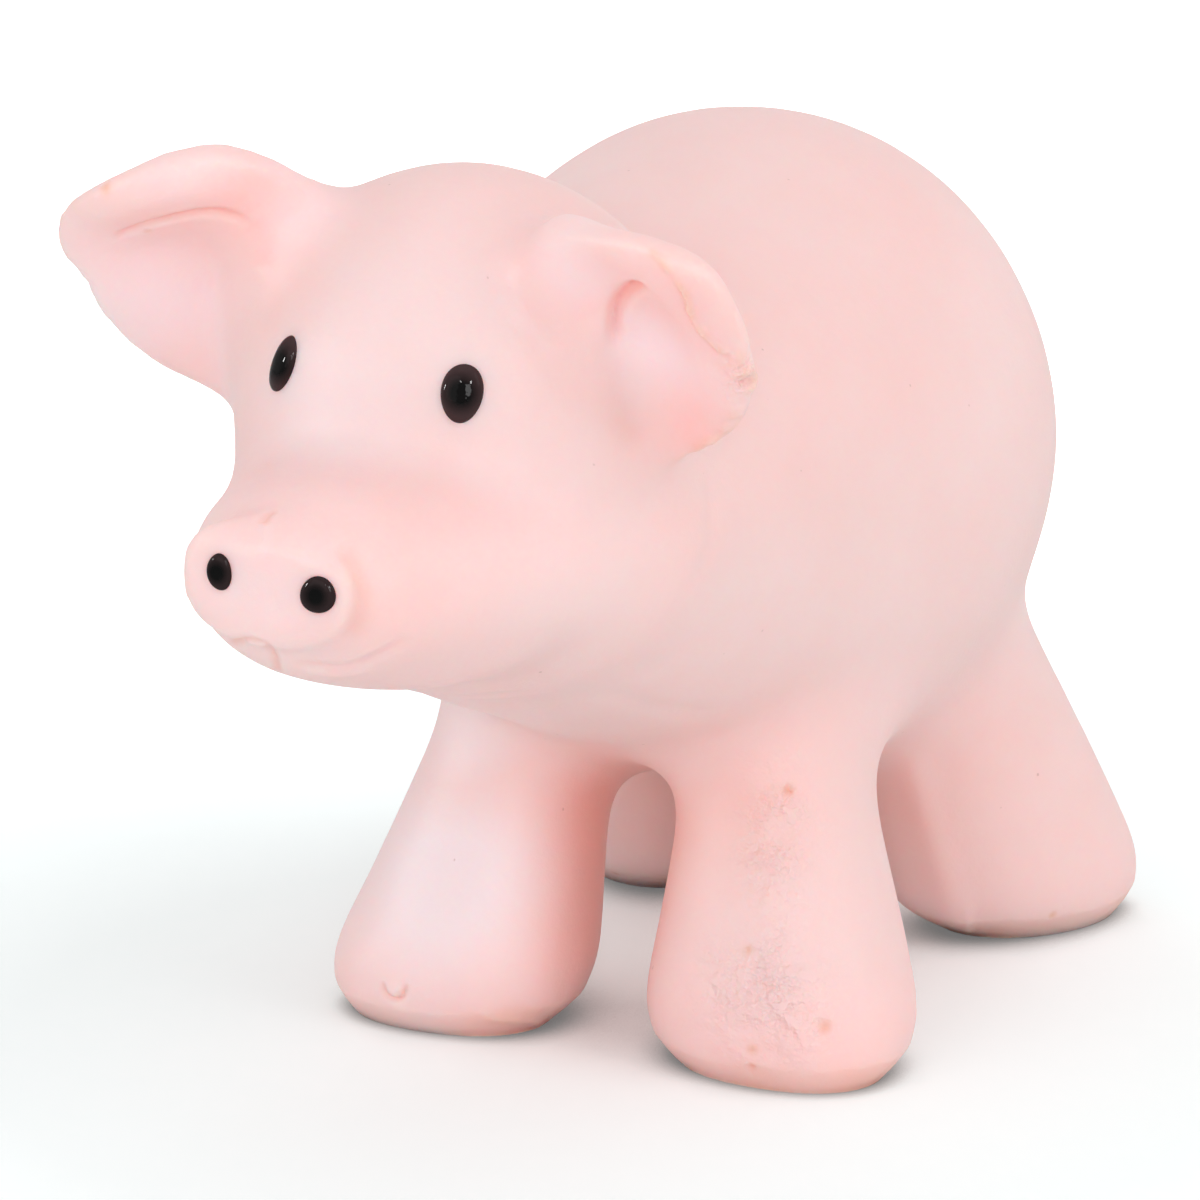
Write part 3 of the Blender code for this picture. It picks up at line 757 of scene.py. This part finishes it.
# %% [markdown]
# ## Hollow, with a pour hole
#
# The real toy is a hollow casting with a hole in the belly, closed by a plug. The hollow is drawn
# from the same forms, each a wall's thickness smaller. It is subtracted together with a short
# cylinder for the hole, so from below the plug shows in its seat.

# %% Hollow
WALL = 0.0026
SOLE_WALL = 0.0032
HOLLOW_GRAIN = 0.0014
HOLLOW_BLEND = 0.0018
PLUG_FORWARD = -0.0182
PLUG_RADIUS = 0.0062
HOLE_REACH = 0.0040


def carved(mesh, cutter_mesh):
    obj, cutter = linked("carved", mesh), linked("cutter", cutter_mesh)
    cut = obj.modifiers.new("cut", "BOOLEAN")
    cut.operation = "DIFFERENCE"
    cut.solver = "EXACT"
    cut.object = cutter
    left = evaluated_mesh(obj)
    bpy.data.objects.remove(cutter, do_unlink=True)
    return left


hollow_form = bmesh.new()
trunk(hollow_form, WALL)
legs(hollow_form, WALL, SOLE_WALL)
head(hollow_form, WALL)
skin_mesh = carved(skin_mesh, blended("hollow", hollow_form, HOLLOW_GRAIN, HOLLOW_BLEND))
hole_form = bmesh.new()
hole_size = (PLUG_RADIUS + GAP, PLUG_RADIUS + GAP)
loft(hole_form, [
    oval(place(PLUG_FORWARD, level), Vector((1.0, 0.0, 0.0)), Vector((0.0, 1.0, 0.0)), hole_size)
    for level in (BARREL_UP - BARREL_HALF_HEIGHT - HOLE_REACH, BARREL_UP)
])
skin_mesh = carved(skin_mesh, to_mesh("hole", hole_form))
print("hollow skin has", len(skin_mesh.polygons), "faces")

# %% [markdown]
# ## Finer faces and flat soles
#
# Mould marks are a few tenths of a millimetre wide. One level of subdivision halves the faces
# and rounds the voxel steps at the same time. Then the feet are cut level with the floor.

# %% Subdivide and cut the soles
skin_obj = linked("skin", skin_mesh)
finer = skin_obj.modifiers.new("finer", "SUBSURF")
finer.levels = 1
finer.render_levels = 1
sole_cut = bmesh.new()
add_mesh(sole_cut, evaluated_mesh(skin_obj))
bmesh.ops.bisect_plane(
    sole_cut, geom=sole_cut.verts[:] + sole_cut.edges[:] + sole_cut.faces[:],
    plane_co=Vector((0.0, 0.0, 0.0)), plane_no=Vector((0.0, 0.0, 1.0)), clear_inner=True,
)
bmesh.ops.holes_fill(sole_cut, edges=[edge for edge in sole_cut.edges if edge.is_boundary])
skin_mesh = to_mesh("pig_skin", sole_cut)
skin_sight = sight_tree(skin_mesh)
points = read_array(skin_mesh.vertices, "co", 3)
normals = read_array(skin_mesh.vertex_normals, "vector", 3)
peach_and_shade = np.zeros(len(points))
print("skin has", len(points), "points")

# %% [markdown]
# ## Marks of the mould
#
# A groove is pressed along a path: points move inward most on the path and less beside it, and
# the ends fade out. A negative depth raises a ridge. Raggedness multiplies the mark with noise,
# which is what cut or torn rubber looks like. Warm colour gathers where the rubber is thin or
# was trimmed, so a mark can also leave warm colour behind; in the grooves of the ear folds, the
# snout rim and the mouth that warm colour is painted shade.

# %% Tools for marks
END_FADE = 5.0
RAGGED_SCALE = 900.0


def noise_at(cloud, scale):
    return np.array([noise.noise(Vector(point) * scale) for point in cloud])


def close_by(path, reach):
    stops = np.array([tuple(stop) for stop in path])
    low, high = stops.min(axis=0) - reach, stops.max(axis=0) + reach
    return np.nonzero(np.all((points > low) & (points < high), axis=1))[0]


def press(path, depth, width, ragged=0.0, peach_and_shade_amount=0.0, fade=END_FADE):
    near = close_by(path, 3 * width)
    away, share = near_path(points[near], path)
    ends = np.clip(np.minimum(share, 1.0 - share) * fade, 0.0, 1.0) if fade else np.ones(len(near))
    shape = np.exp(-((away / width) ** 2)) * ends * ends * (3.0 - 2.0 * ends)
    if ragged:
        shape = shape * (1.0 + ragged * 2.0 * noise_at(points[near], RAGGED_SCALE))
    points[near] -= normals[near] * (depth * shape)[:, None]
    peach_and_shade[near] = np.maximum(peach_and_shade[near], peach_and_shade_amount * np.clip(shape, 0.0, 1.0))


def press_spot(pixel, depth, width, peach_and_shade_amount=0.0):
    point = skin_sight.ray_cast(camera.location, ray_through(pixel))[0]
    press([point, point + Vector((0.0, 0.0, 0.00001))], depth, width, 0.0, peach_and_shade_amount, 0.0)


print("tools ready")

# %% Press the marks
on_skin = lambda *pixels: traced(skin_sight, *pixels)
# folds inside the ears, with painted shade in their grooves
press(on_skin((110, 240), (132, 231), (152, 224), (190, 215), (218, 213), (240, 218), (258, 230)),
      0.00045, 0.00040, 0.0, 0.35)
press(on_skin((250, 222), (260, 236), (264, 255), (262, 275)), 0.0002, 0.0008)
press(on_skin((648, 285), (632, 288), (620, 299), (615, 314), (616, 334), (620, 352)), 0.0008, 0.0005, 0.0, 0.45)
press(on_skin((612, 320), (618, 352), (628, 390), (640, 425), (655, 446)), 0.0004, 0.0016)
# groove behind the rim of the snout, the mouth and the smile; the peach left in the snout groove and the mouth is
# painted shade
press(on_skin((334, 540), (354, 562), (363, 598), (357, 626), (342, 646)), 0.00025, 0.0008, 0.0, 0.25)
press(on_skin((228, 646), (240, 641), (252, 640), (266, 645), (273, 654), (276, 664), (278, 674)),
      0.00026, 0.00032, 0.0, 0.3, 9.0)
press(on_skin((266, 522), (265, 540), (266, 562)), -0.0001, 0.0004)
press(on_skin((269, 598), (270, 620), (272, 640)), -0.00006, 0.0004)
press(on_skin((290, 659), (310, 665), (330, 668), (350, 667), (375, 658), (395, 647), (414, 633)), 0.00025, 0.0005)
press(on_skin((300, 668), (330, 675), (352, 674), (378, 666)), -0.00015, 0.0006)
press(on_skin((262, 524), (267, 515), (277, 509)), 0.0002, 0.00035, 0.0, 0.3)
# chin, neck and chest
press(on_skin((432, 697), (460, 697), (500, 695), (540, 690)), 0.0002, 0.0008)
press(on_skin((704, 470), (712, 520), (705, 560), (680, 600)), 0.00015, 0.0009)
press(on_skin((590, 690), (620, 694), (660, 708), (725, 716)), 0.0002, 0.0012)
# ridge of the hind leg and the seam tick at its foot
press(on_skin((905, 745), (918, 790), (932, 840), (948, 890), (960, 922), (970, 940)), -0.0004, 0.0015)
press(on_skin((966, 900), (967, 915), (969, 932)), -0.0002, 0.00035)
# the horseshoe mark on the front foot
press(on_skin((383, 980), (384, 990), (389, 997), (395, 1000), (401, 997), (405, 989), (406, 980)),
      0.00034, 0.0003, 0.3, 0.35)
press(on_skin((390, 984), (394, 990), (400, 984)), -0.00012, 0.0004)
print("marks pressed")

# %% Flash on the ear rims and soles
for side, start in ((1, 0.24), (-1, 0.20)):
    rim = []
    for step in range(40):
        share = mixed(start, 0.96, step / 39)
        root, reach, facing = ear_station(side, share)
        rim.append(root + reach - facing * EAR_CUP)
    press(rim, -0.00010, 0.0004, 0.9, 0.20)
# on the left ear the peach along the rim is partly trimmed flash and partly painted shade where the rim turns away
# from the light
press(on_skin((646, 245), (662, 262), (684, 290), (692, 316), (706, 336), (722, 352), (736, 370)),
      -0.00024, 0.00028, 0.6, 0.50, 14.0)
press(on_skin((722, 350), (738, 366), (748, 384), (742, 398)), -0.00032, 0.0008, 1.4, 0.40)
press(on_skin((470, 1016), (500, 1018), (530, 1022), (556, 1030)), -0.00014, 0.0005, 0.5, 0.50)
press(on_skin((748, 385), (735, 410), (722, 430), (700, 446), (668, 460)), -0.00015, 0.0004, 1.0, 0.28)

feet = np.nonzero(points[:, 2] < 0.006)[0]
rim_wave = noise_at(points[feet], 160.0)
rim_height = 0.0024 + 0.0006 * rim_wave
height = points[feet, 2]
band = np.exp(-(((height - rim_height) / 0.0005) ** 2))
outward = normals[feet] * np.array((1.0, 1.0, 0.0))
points[feet] += outward * (0.00008 * band * (1.0 + 1.2 * noise_at(points[feet], 500.0)))[:, None]
below = 1.0 / (1.0 + np.exp((height - rim_height) / 0.00035))
peach_and_shade[feet] = np.maximum(peach_and_shade[feet], (0.36 + 0.3 * rim_wave) * below)
print("flash raised on", len(feet), "points of the feet")

# %% [markdown]
# ## Rough patches and hand made unevenness
#
# A casting is never even. Broad noise makes the surface slightly lumpy, finer noise gives it a
# skin, and two wrinkled patches sit on one front leg where the rubber clung to the mould.

# %% Unevenness
lumps = noise_at(points, 70.0)
ripples = noise_at(points, 330.0)
standing = np.clip(points[:, 2] / 0.001, 0.0, 1.0)
points += normals * ((0.00010 * lumps + 0.000025 * ripples) * standing)[:, None]


crinkle = np.zeros(len(points))


def wrinkle(pixel, reach, depth):
    middle = skin_sight.ray_cast(camera.location, ray_through(pixel))[0]
    away = np.linalg.norm((points - np.array(middle)) / np.array(reach), axis=1)
    near = np.nonzero(away < 1.6)[0]
    folds = 1.0 - np.abs(noise_at(points[near], 420.0)) * 3.0
    fade = np.exp(-((away[near] / 0.8) ** 2)) * (0.7 + 0.6 * noise_at(points[near], 330.0))
    points[near] += normals[near] * (depth * fade * folds)[:, None]
    crinkle[near] = np.maximum(crinkle[near], np.clip(fade, 0.0, 1.0))


wrinkle((780, 840), (0.0042, 0.0042, 0.0064), 0.00008)
wrinkle((765, 1000), (0.0062, 0.0062, 0.0070), 0.00008)
wrinkle((742, 376), (0.0017, 0.0017, 0.0026), 0.00012)
for pixel, depth, size in (
    ((105, 188), 0.0001, 0.0005), ((788, 790), 0.0002, 0.0004), ((825, 1027), 0.0002, 0.0005),
    ((748, 950), 0.00015, 0.0004), ((752, 1068), 0.0003, 0.0004), ((616, 874), 0.0001, 0.0004),
    ((752, 1050), 0.0001, 0.0004), ((1052, 915), 0.0001, 0.0004), ((148, 232), 0.0001, 0.0003),
):
    press_spot(pixel, depth, size, 0.85)
for pixel in ((219, 572), (318, 595)):
    press_spot(pixel, 0.00045, 0.0017)
print("wrinkles and spots pressed")

# %% Painted highlight
# painted highlight: a paler lavender pink laid where the light falls fullest, on brow, face, snout, ears and legs
painted_highlight = np.zeros(len(points))
for pixel, reach, amount in (
    ((400, 300), 0.0100, 0.3), ((350, 430), 0.0080, 0.5), ((300, 205), 0.0040, 0.7),
    ((660, 350), 0.0045, 1.0), ((450, 880), 0.0085, 1.0), ((460, 740), 0.0050, 0.8),
    ((520, 500), 0.0080, 0.4), ((270, 590), 0.0050, 0.4), ((780, 980), 0.0070, 0.3),
    ((150, 290), 0.0070, 1.0), ((180, 180), 0.0050, 0.4), ((570, 270), 0.0040, 0.6),
):
    middle = skin_sight.ray_cast(camera.location, ray_through(pixel))[0]
    away = np.linalg.norm(points - np.array(middle), axis=1)
    painted_highlight = np.maximum(painted_highlight, amount * np.exp(-((away / reach) ** 2)))
painted_highlight = np.clip(painted_highlight * (1.0 + 0.6 * lumps), 0.0, 1.0)
print("bloom on", int((painted_highlight > 0.1).sum()), "points")

# %% Write the skin back
skin_mesh.vertices.foreach_set("co", points.ravel())
skin_mesh.update()
skin_sight = sight_tree(skin_mesh)
skin_mesh.attributes.new("peach_and_shade", "FLOAT", "POINT").data.foreach_set("value", peach_and_shade)
skin_mesh.attributes.new("painted_highlight", "FLOAT", "POINT").data.foreach_set("value", painted_highlight)
skin_mesh.attributes.new("crinkle", "FLOAT", "POINT").data.foreach_set("value", crinkle)
print("skin written")

# %% [markdown]
# ## Rubber
#
# Natural rubber is matte and a little see-through, so light that enters comes out warmer a
# millimetre away: subsurface scattering gives the soft, fleshy shade. Its pink is not even, so
# slow noise moves the colour a little, and fine noise gives the dusty, pitted surface. In nooks
# the pink is painted deeper, a painted shade for the light that bounces from pink to pink there,
# and paler lavender patches are painted highlight where the light falls fullest.

# %% Pink rubber
def noise_node(nodes, links, coordinates, scale, detail=4.0, roughness=0.55):
    made = nodes.new("ShaderNodeTexNoise")
    made.inputs["Scale"].default_value = scale
    made.inputs["Detail"].default_value = detail
    made.inputs["Roughness"].default_value = roughness
    links.new(coordinates, made.inputs["Vector"])
    return made.outputs["Fac"]


def range_node(nodes, links, value, from_low, from_high, to_low, to_high):
    made = nodes.new("ShaderNodeMapRange")
    made.inputs["From Min"].default_value = from_low
    made.inputs["From Max"].default_value = from_high
    made.inputs["To Min"].default_value = to_low
    made.inputs["To Max"].default_value = to_high
    links.new(value, made.inputs["Value"])
    return made.outputs["Result"]


def mix_node(nodes, links, share, first, second):
    made = nodes.new("ShaderNodeMix")
    made.data_type = "RGBA"
    links.new(share, made.inputs["Factor"])
    for socket, colour in ((made.inputs[6], first), (made.inputs[7], second)):
        if isinstance(colour, tuple):
            socket.default_value = (*colour, 1.0)
        else:
            links.new(colour, socket)
    return made.outputs[2]


def bump_node(nodes, links, height, strength, distance, before=None):
    made = nodes.new("ShaderNodeBump")
    made.inputs["Strength"].default_value = strength
    made.inputs["Distance"].default_value = distance
    links.new(height, made.inputs["Height"])
    if before is not None:
        links.new(before, made.inputs["Normal"])
    return made.outputs["Normal"]


def new_material(name, **settings):
    """A Principled material: its nodes, links, shader and object coordinates."""
    made = bpy.data.materials.new(name)
    made.use_nodes = True
    nodes, links = made.node_tree.nodes, made.node_tree.links
    shader = nodes["Principled BSDF"]
    for socket, value in settings.items():
        shader.inputs[socket.replace("_", " ")].default_value = value
    return made, nodes, links, shader, nodes.new("ShaderNodeTexCoord").outputs["Object"]


PALE_PINK = (0.950, 0.625, 0.610)
ROSY_PINK = (0.945, 0.565, 0.545)
HIGHLIGHT_PINK = (0.940, 0.720, 0.740)
WARM_PEACH = (0.820, 0.420, 0.300)
SHADE_PINK = (1.000, 0.400, 0.320)
SPECK_BROWN = (0.400, 0.170, 0.110)


def rubber_material(name, pale, rosy, shade_colour):
    made, nodes, links, shader, where = new_material(
        name, Roughness=0.50, Specular_IOR_Level=0.45, Subsurface_Weight=0.65,
        Subsurface_Radius=(1.0, 0.30, 0.20), Subsurface_Scale=0.0048,
    )
    blush = range_node(nodes, links, noise_node(nodes, links, where, 45.0), 0.35, 0.70, 0.0, 1.0)
    colour = mix_node(nodes, links, blush, pale, rosy)
    # peach: trimmed flash, thin rubber and specks, and painted shade in some grooves and along the left ear's rim
    peach_and_shade_mask = nodes.new("ShaderNodeAttribute")
    peach_and_shade_mask.attribute_name = "peach_and_shade"
    colour = mix_node(nodes, links, peach_and_shade_mask.outputs["Fac"], colour, WARM_PEACH)
    # painted shade: where the pig's own shape crowds round a point, the colour turns to the shade colour
    nook = nodes.new("ShaderNodeAmbientOcclusion")
    nook.samples = 8
    nook.only_local = True
    nook.inputs["Distance"].default_value = 0.026
    painted_shade = range_node(nodes, links, nook.outputs["AO"], 0.20, 0.90, 1.0, 0.0)
    colour = mix_node(nodes, links, painted_shade, colour, shade_colour)
    # painted highlight: paler lavender pink where the light falls fullest
    highlight_mask = nodes.new("ShaderNodeAttribute")
    highlight_mask.attribute_name = "painted_highlight"
    colour = mix_node(nodes, links, highlight_mask.outputs["Fac"], colour, HIGHLIGHT_PINK)
    speck = range_node(nodes, links, noise_node(nodes, links, where, 1700.0, 0.0), 0.89, 0.93, 0.0, 0.35)
    colour = mix_node(nodes, links, speck, colour, SPECK_BROWN)
    creased = nodes.new("ShaderNodeAttribute")
    creased.attribute_name = "crinkle"
    ridges = range_node(nodes, links, noise_node(nodes, links, where, 700.0, 3.0, 0.6), 0.34, 0.62, 0.0, 1.0)
    raised = nodes.new("ShaderNodeMath")
    raised.operation = "MULTIPLY"
    links.new(ridges, raised.inputs[0])
    links.new(creased.outputs["Fac"], raised.inputs[1])
    links.new(colour, shader.inputs["Base Color"])
    normal = bump_node(nodes, links, noise_node(nodes, links, where, 1500.0, 4.0, 0.6), 0.10, 0.0003)
    normal = bump_node(nodes, links, noise_node(nodes, links, where, 260.0, 5.0, 0.6), 0.10, 0.0008, normal)
    normal = bump_node(nodes, links, raised.outputs["Value"], 1.0, 0.0004, normal)
    links.new(normal, shader.inputs["Normal"])
    return made


pink_rubber = rubber_material("pink_rubber_skin", PALE_PINK, ROSY_PINK, SHADE_PINK)
# on the plug the painted shade in its nooks is the peach colour
plug_rubber = rubber_material("plug_rubber_skin", ROSY_PINK, WARM_PEACH, WARM_PEACH)
print("rubber ready")

# %% Put the skin in place of the body shell
skin_mesh.shade_smooth()
skin_mesh.set_sharp_from_angle(angle=math.radians(50))
skin_mesh.materials.append(pink_rubber)
pig_skin = linked("pig_skin", skin_mesh)
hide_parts("body_shell")
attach(pig_skin, "pig")
print("skin stands for body_shell")

# %% [markdown]
# ## Drops of black paint
#
# The eyes and nostrils are drops of thick enamel, set by hand, so no two are alike. Each drop is
# a fan of rings: every point of the drop is looked up on the skin through its pixel, then lifted
# by a dome that is steep at the edge, as surface tension makes it. Away from the middle the paint
# turns brown, partly where it is thin and the rubber glows through, and partly as a painted
# reflection of the bright room.

# %% Paint and drops
def paint_material():
    made, nodes, links, shader, where = new_material("gloss_black_paint", Specular_IOR_Level=0.09)
    smear = noise_node(nodes, links, where, 800.0, 3.0)
    links.new(range_node(nodes, links, smear, 0.3, 0.7, 0.03, 0.08), shader.inputs["Roughness"])
    thin_paint_and_reflection = nodes.new("ShaderNodeAttribute")
    thin_paint_and_reflection.attribute_name = "thin_paint_and_reflection"
    colour = mix_node(nodes, links, smear, (0.0004, 0.0003, 0.0003), (0.0015, 0.0010, 0.0010))
    # brown towards the rim: thin paint, and a painted reflection of the bright room
    colour = mix_node(nodes, links, thin_paint_and_reflection.outputs["Fac"], colour, (0.0480, 0.0260, 0.0270))
    links.new(colour, shader.inputs["Base Color"])
    links.new(bump_node(nodes, links, smear, 0.12, 0.0004), shader.inputs["Normal"])
    return made


black_paint = paint_material()
DROP_RINGS = 14
DROP_SPOKES = 56
DROP_SINK = 0.0003


def paint_drop(node, pixel, half_sizes, lean, dome, wobble, seed, most_thin_paint_and_reflection=1.0):
    """A drop round a pixel; half sizes are in pixels, across and along, and the lean in degrees."""
    lean = math.radians(lean)
    rings, facing = [], Vector()
    for ring in range(DROP_RINGS + 1):
        radius = math.sin(math.pi / 2 * ring / DROP_RINGS)
        row = []
        for spoke in range(DROP_SPOKES if ring else 1):
            angle = math.tau * spoke / DROP_SPOKES
            shape = radius * (1 + wobble * math.sin(2 * angle + seed) + wobble * math.sin(3 * angle + 2 * seed))
            right = half_sizes[0] * shape * math.cos(angle)
            down = half_sizes[1] * shape * math.sin(angle)
            seen = (pixel[0] + right * math.cos(lean) - down * math.sin(lean),
                    pixel[1] + right * math.sin(lean) + down * math.cos(lean))
            point, normal, _, _ = skin_sight.ray_cast(camera.location, ray_through(seen))
            facing += normal
            row.append(point)
        rings.append((radius, row))
    facing.normalize()
    bm = bmesh.new()
    made = []
    for radius, row in rings:
        lift = dome * (1 - radius**3) ** 0.55
        made.append([bm.verts.new(point + facing * lift) for point in row])
    skirt = [bm.verts.new(point - facing * DROP_SINK) for point in rings[-1][1]]
    made.append(skirt)
    for spoke in range(DROP_SPOKES):
        after = (spoke + 1) % DROP_SPOKES
        bm.faces.new((made[0][0], made[1][after], made[1][spoke]))
        for inner, outer in zip(made[1:], made[2:]):
            bm.faces.new((inner[spoke], inner[after], outer[after], outer[spoke]))
    bm.faces.new(skirt)
    mesh = to_mesh(node + "_drop", bm)
    heart = rings[0][1][0] + facing * dome
    away = [(vert.co - heart).length for vert in mesh.vertices]
    reach = max(away)
    # share of brown towards the rim, for thin paint and painted reflection
    thin_paint_and_reflection = [min(max((value / reach - 0.30) / 0.40, 0.0), 1.0) * most_thin_paint_and_reflection for value in away]
    mesh.attributes.new("thin_paint_and_reflection", "FLOAT", "POINT").data.foreach_set("value", thin_paint_and_reflection)
    mesh.shade_smooth()
    mesh.materials.append(black_paint)
    drop = linked(node + "_drop", mesh)
    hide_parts(node)
    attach(drop, "pig")


paint_drop("right_eye", (284, 364), (10.2, 29.5), 18, 0.00055, 0.02, 0.5)
paint_drop("left_eye", (462, 393), (21, 30.5), 8, 0.00060, 0.02, 1.7)
paint_drop("right_nostril", (219.5, 572), (12, 19), -10, 0.00040, 0.025, 2.3, 0.5)
paint_drop("left_nostril", (318, 595), (18, 18.5), 10, 0.00045, 0.02, 0.2, 0.5)
print("four drops set")

# %% [markdown]
# ## Plastic, steel and the plug
#
# The rattle is out of sight, but it is dressed too: the ball is moulded in milky plastic with
# faint flow marks, the beads are steel shot with fine scratches, and the plug is plain rubber.

# %% Inner pieces
def plastic_material():
    made, nodes, links, shader, where = new_material("milky_plastic", Subsurface_Weight=0.1,
                                                     Subsurface_Scale=0.001)
    flow = noise_node(nodes, links, where, 260.0, 5.0)
    links.new(mix_node(nodes, links, flow, (0.80, 0.79, 0.74), (0.88, 0.88, 0.84)), shader.inputs["Base Color"])
    links.new(range_node(nodes, links, flow, 0.3, 0.7, 0.32, 0.48), shader.inputs["Roughness"])
    links.new(bump_node(nodes, links, flow, 0.15, 0.0003), shader.inputs["Normal"])
    return made


def steel_material():
    made, nodes, links, shader, where = new_material("steel_shot", Metallic=1.0)
    scratch = noise_node(nodes, links, where, 2400.0, 6.0, 0.7)
    links.new(mix_node(nodes, links, scratch, (0.42, 0.41, 0.40), (0.62, 0.61, 0.60)), shader.inputs["Base Color"])
    links.new(range_node(nodes, links, scratch, 0.3, 0.7, 0.22, 0.42), shader.inputs["Roughness"])
    links.new(bump_node(nodes, links, scratch, 0.12, 0.0001), shader.inputs["Normal"])
    return made


def dress(node, finish):
    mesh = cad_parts[node].data
    mesh.materials.clear()
    mesh.materials.append(finish)


milky_plastic, steel_shot = plastic_material(), steel_material()
dress("belly_plug", plug_rubber)
for node in ("rattle_lower_cup", "rattle_upper_cup"):
    dress(node, milky_plastic)
for index in range(1, 6):
    dress(f"rattle_bead_{index}", steel_shot)
print("inner pieces dressed")

# %% [markdown]
# ## Floor and world
#
# The pig stands on a white sheet in a white room. The floor scatters light and keeps the shadow,
# and close under the pig its colour is darkened to a painted shadow. For the camera alone it also
# glows a little, and more with distance, so that it ends in the same white as the background.

# %% Floor and world
FLOOR_HALF_SIZE = 3.0
floor_bm = bmesh.new()
bmesh.ops.create_grid(floor_bm, x_segments=4, y_segments=4, size=FLOOR_HALF_SIZE)
floor = linked("floor", to_mesh("floor", floor_bm))

floor_white = bpy.data.materials.new("floor_white")
floor_white.use_nodes = True
nodes, links = floor_white.node_tree.nodes, floor_white.node_tree.links
nodes.clear()
output = nodes.new("ShaderNodeOutputMaterial")
where = nodes.new("ShaderNodeTexCoord").outputs["Object"]
matte = nodes.new("ShaderNodeBsdfDiffuse")
paper = noise_node(nodes, links, where, 300.0)
sheet = mix_node(nodes, links, paper, (0.845, 0.92, 0.92), (0.865, 0.94, 0.94))
# painted shadow: the floor's colour turns dark where the pig covers it
nook = nodes.new("ShaderNodeAmbientOcclusion")
nook.samples = 8
nook.inputs["Distance"].default_value = 0.017
painted_floor_shadow = range_node(nodes, links, nook.outputs["AO"], 0.15, 0.62, 1.0, 0.0)
links.new(mix_node(nodes, links, painted_floor_shadow, sheet, (0.12, 0.13, 0.13)), matte.inputs["Color"])
far = nodes.new("ShaderNodeVectorMath")
far.operation = "LENGTH"
links.new(where, far.inputs[0])
glow = nodes.new("ShaderNodeEmission")
links.new(range_node(nodes, links, far.outputs["Value"], 0.05, 0.26, 0.14, 1.0), glow.inputs["Strength"])
kind = nodes.new("ShaderNodeLightPath")
nothing = nodes.new("ShaderNodeEmission")
nothing.inputs["Strength"].default_value = 0.0
seen = nodes.new("ShaderNodeMixShader")
both = nodes.new("ShaderNodeAddShader")
links.new(kind.outputs["Is Camera Ray"], seen.inputs["Fac"])
links.new(nothing.outputs[0], seen.inputs[1])
links.new(glow.outputs[0], seen.inputs[2])
links.new(matte.outputs[0], both.inputs[0])
links.new(seen.outputs[0], both.inputs[1])
links.new(both.outputs[0], output.inputs["Surface"])
floor.data.materials.append(floor_white)

ROOM_LIGHT = 0.745
world = bpy.data.worlds.new("studio")
bpy.context.scene.world = world
world.use_nodes = True
nodes, links = world.node_tree.nodes, world.node_tree.links
nodes.clear()
output = nodes.new("ShaderNodeOutputWorld")
room = nodes.new("ShaderNodeBackground")
room.inputs["Strength"].default_value = ROOM_LIGHT
white = nodes.new("ShaderNodeBackground")
white.inputs["Strength"].default_value = 1.0
for background in (room, white):
    background.inputs["Color"].default_value = (1.0, 1.0, 1.0, 1.0)
kind = nodes.new("ShaderNodeLightPath")
first = nodes.new("ShaderNodeMath")
second = nodes.new("ShaderNodeMath")
for adder in (first, second):
    adder.operation = "MAXIMUM"
links.new(kind.outputs["Is Camera Ray"], first.inputs[0])
links.new(kind.outputs["Is Glossy Ray"], first.inputs[1])
links.new(first.outputs[0], second.inputs[0])
links.new(kind.outputs["Is Transmission Ray"], second.inputs[1])
choose = nodes.new("ShaderNodeMixShader")
links.new(second.outputs[0], choose.inputs["Fac"])
links.new(room.outputs[0], choose.inputs[1])
links.new(white.outputs[0], choose.inputs[2])
links.new(choose.outputs[0], output.inputs["Surface"])
print("floor and world ready")

# %% [markdown]
# ## Lamps
#
# Four soft lamps: a wide one ahead of the pig, which fills the face, a smaller one beside the
# camera, one from the right and one overhead. Each is set by the direction it comes from. Three
# small lamps reach only shiny surfaces and put the glints on the wet looking paint.

# %% Lamps
LAMP_AIM = Vector((0.0, 0.0, 0.035))


def soft_lamp(name, turn, tilt, distance, width, power, glint_only=False):
    """A square lamp; turn 0 is straight ahead of the pig, and positive turns go to its left."""
    turn, tilt = math.radians(turn), math.radians(tilt)
    away = Vector((
        math.sin(turn) * math.cos(tilt), -math.cos(turn) * math.cos(tilt), math.sin(tilt)
    ))
    data = bpy.data.lights.new(name, "AREA")
    data.shape = "SQUARE"
    data.size = width
    data.energy = power
    lamp = bpy.data.objects.new(name, data)
    lamp.location = LAMP_AIM + away * distance
    lamp.rotation_euler = away.to_track_quat("Z", "Y").to_euler()
    lamp.visible_diffuse = not glint_only
    bpy.context.scene.collection.objects.link(lamp)


soft_lamp("front", -12.0, 18.0, 1.3, 0.9, 2.0)
soft_lamp("beside_camera", 26.5, 12.0, 1.3, 0.28, 2.6)
soft_lamp("right", 90.0, 30.0, 1.2, 0.7, 2.7)
soft_lamp("top", 20.0, 78.0, 1.4, 0.9, 1.1)
soft_lamp("glint_left", -50.0, 12.0, 1.2, 0.10, 4.2, True)
soft_lamp("glint_front", 11.5, 20.0, 1.2, 0.07, 0.9, True)
soft_lamp("glint_right", 37.0, 24.0, 1.2, 0.09, 1.8, True)
print("lamps ready")

bpy.context.scene.view_settings.view_transform = "Standard"
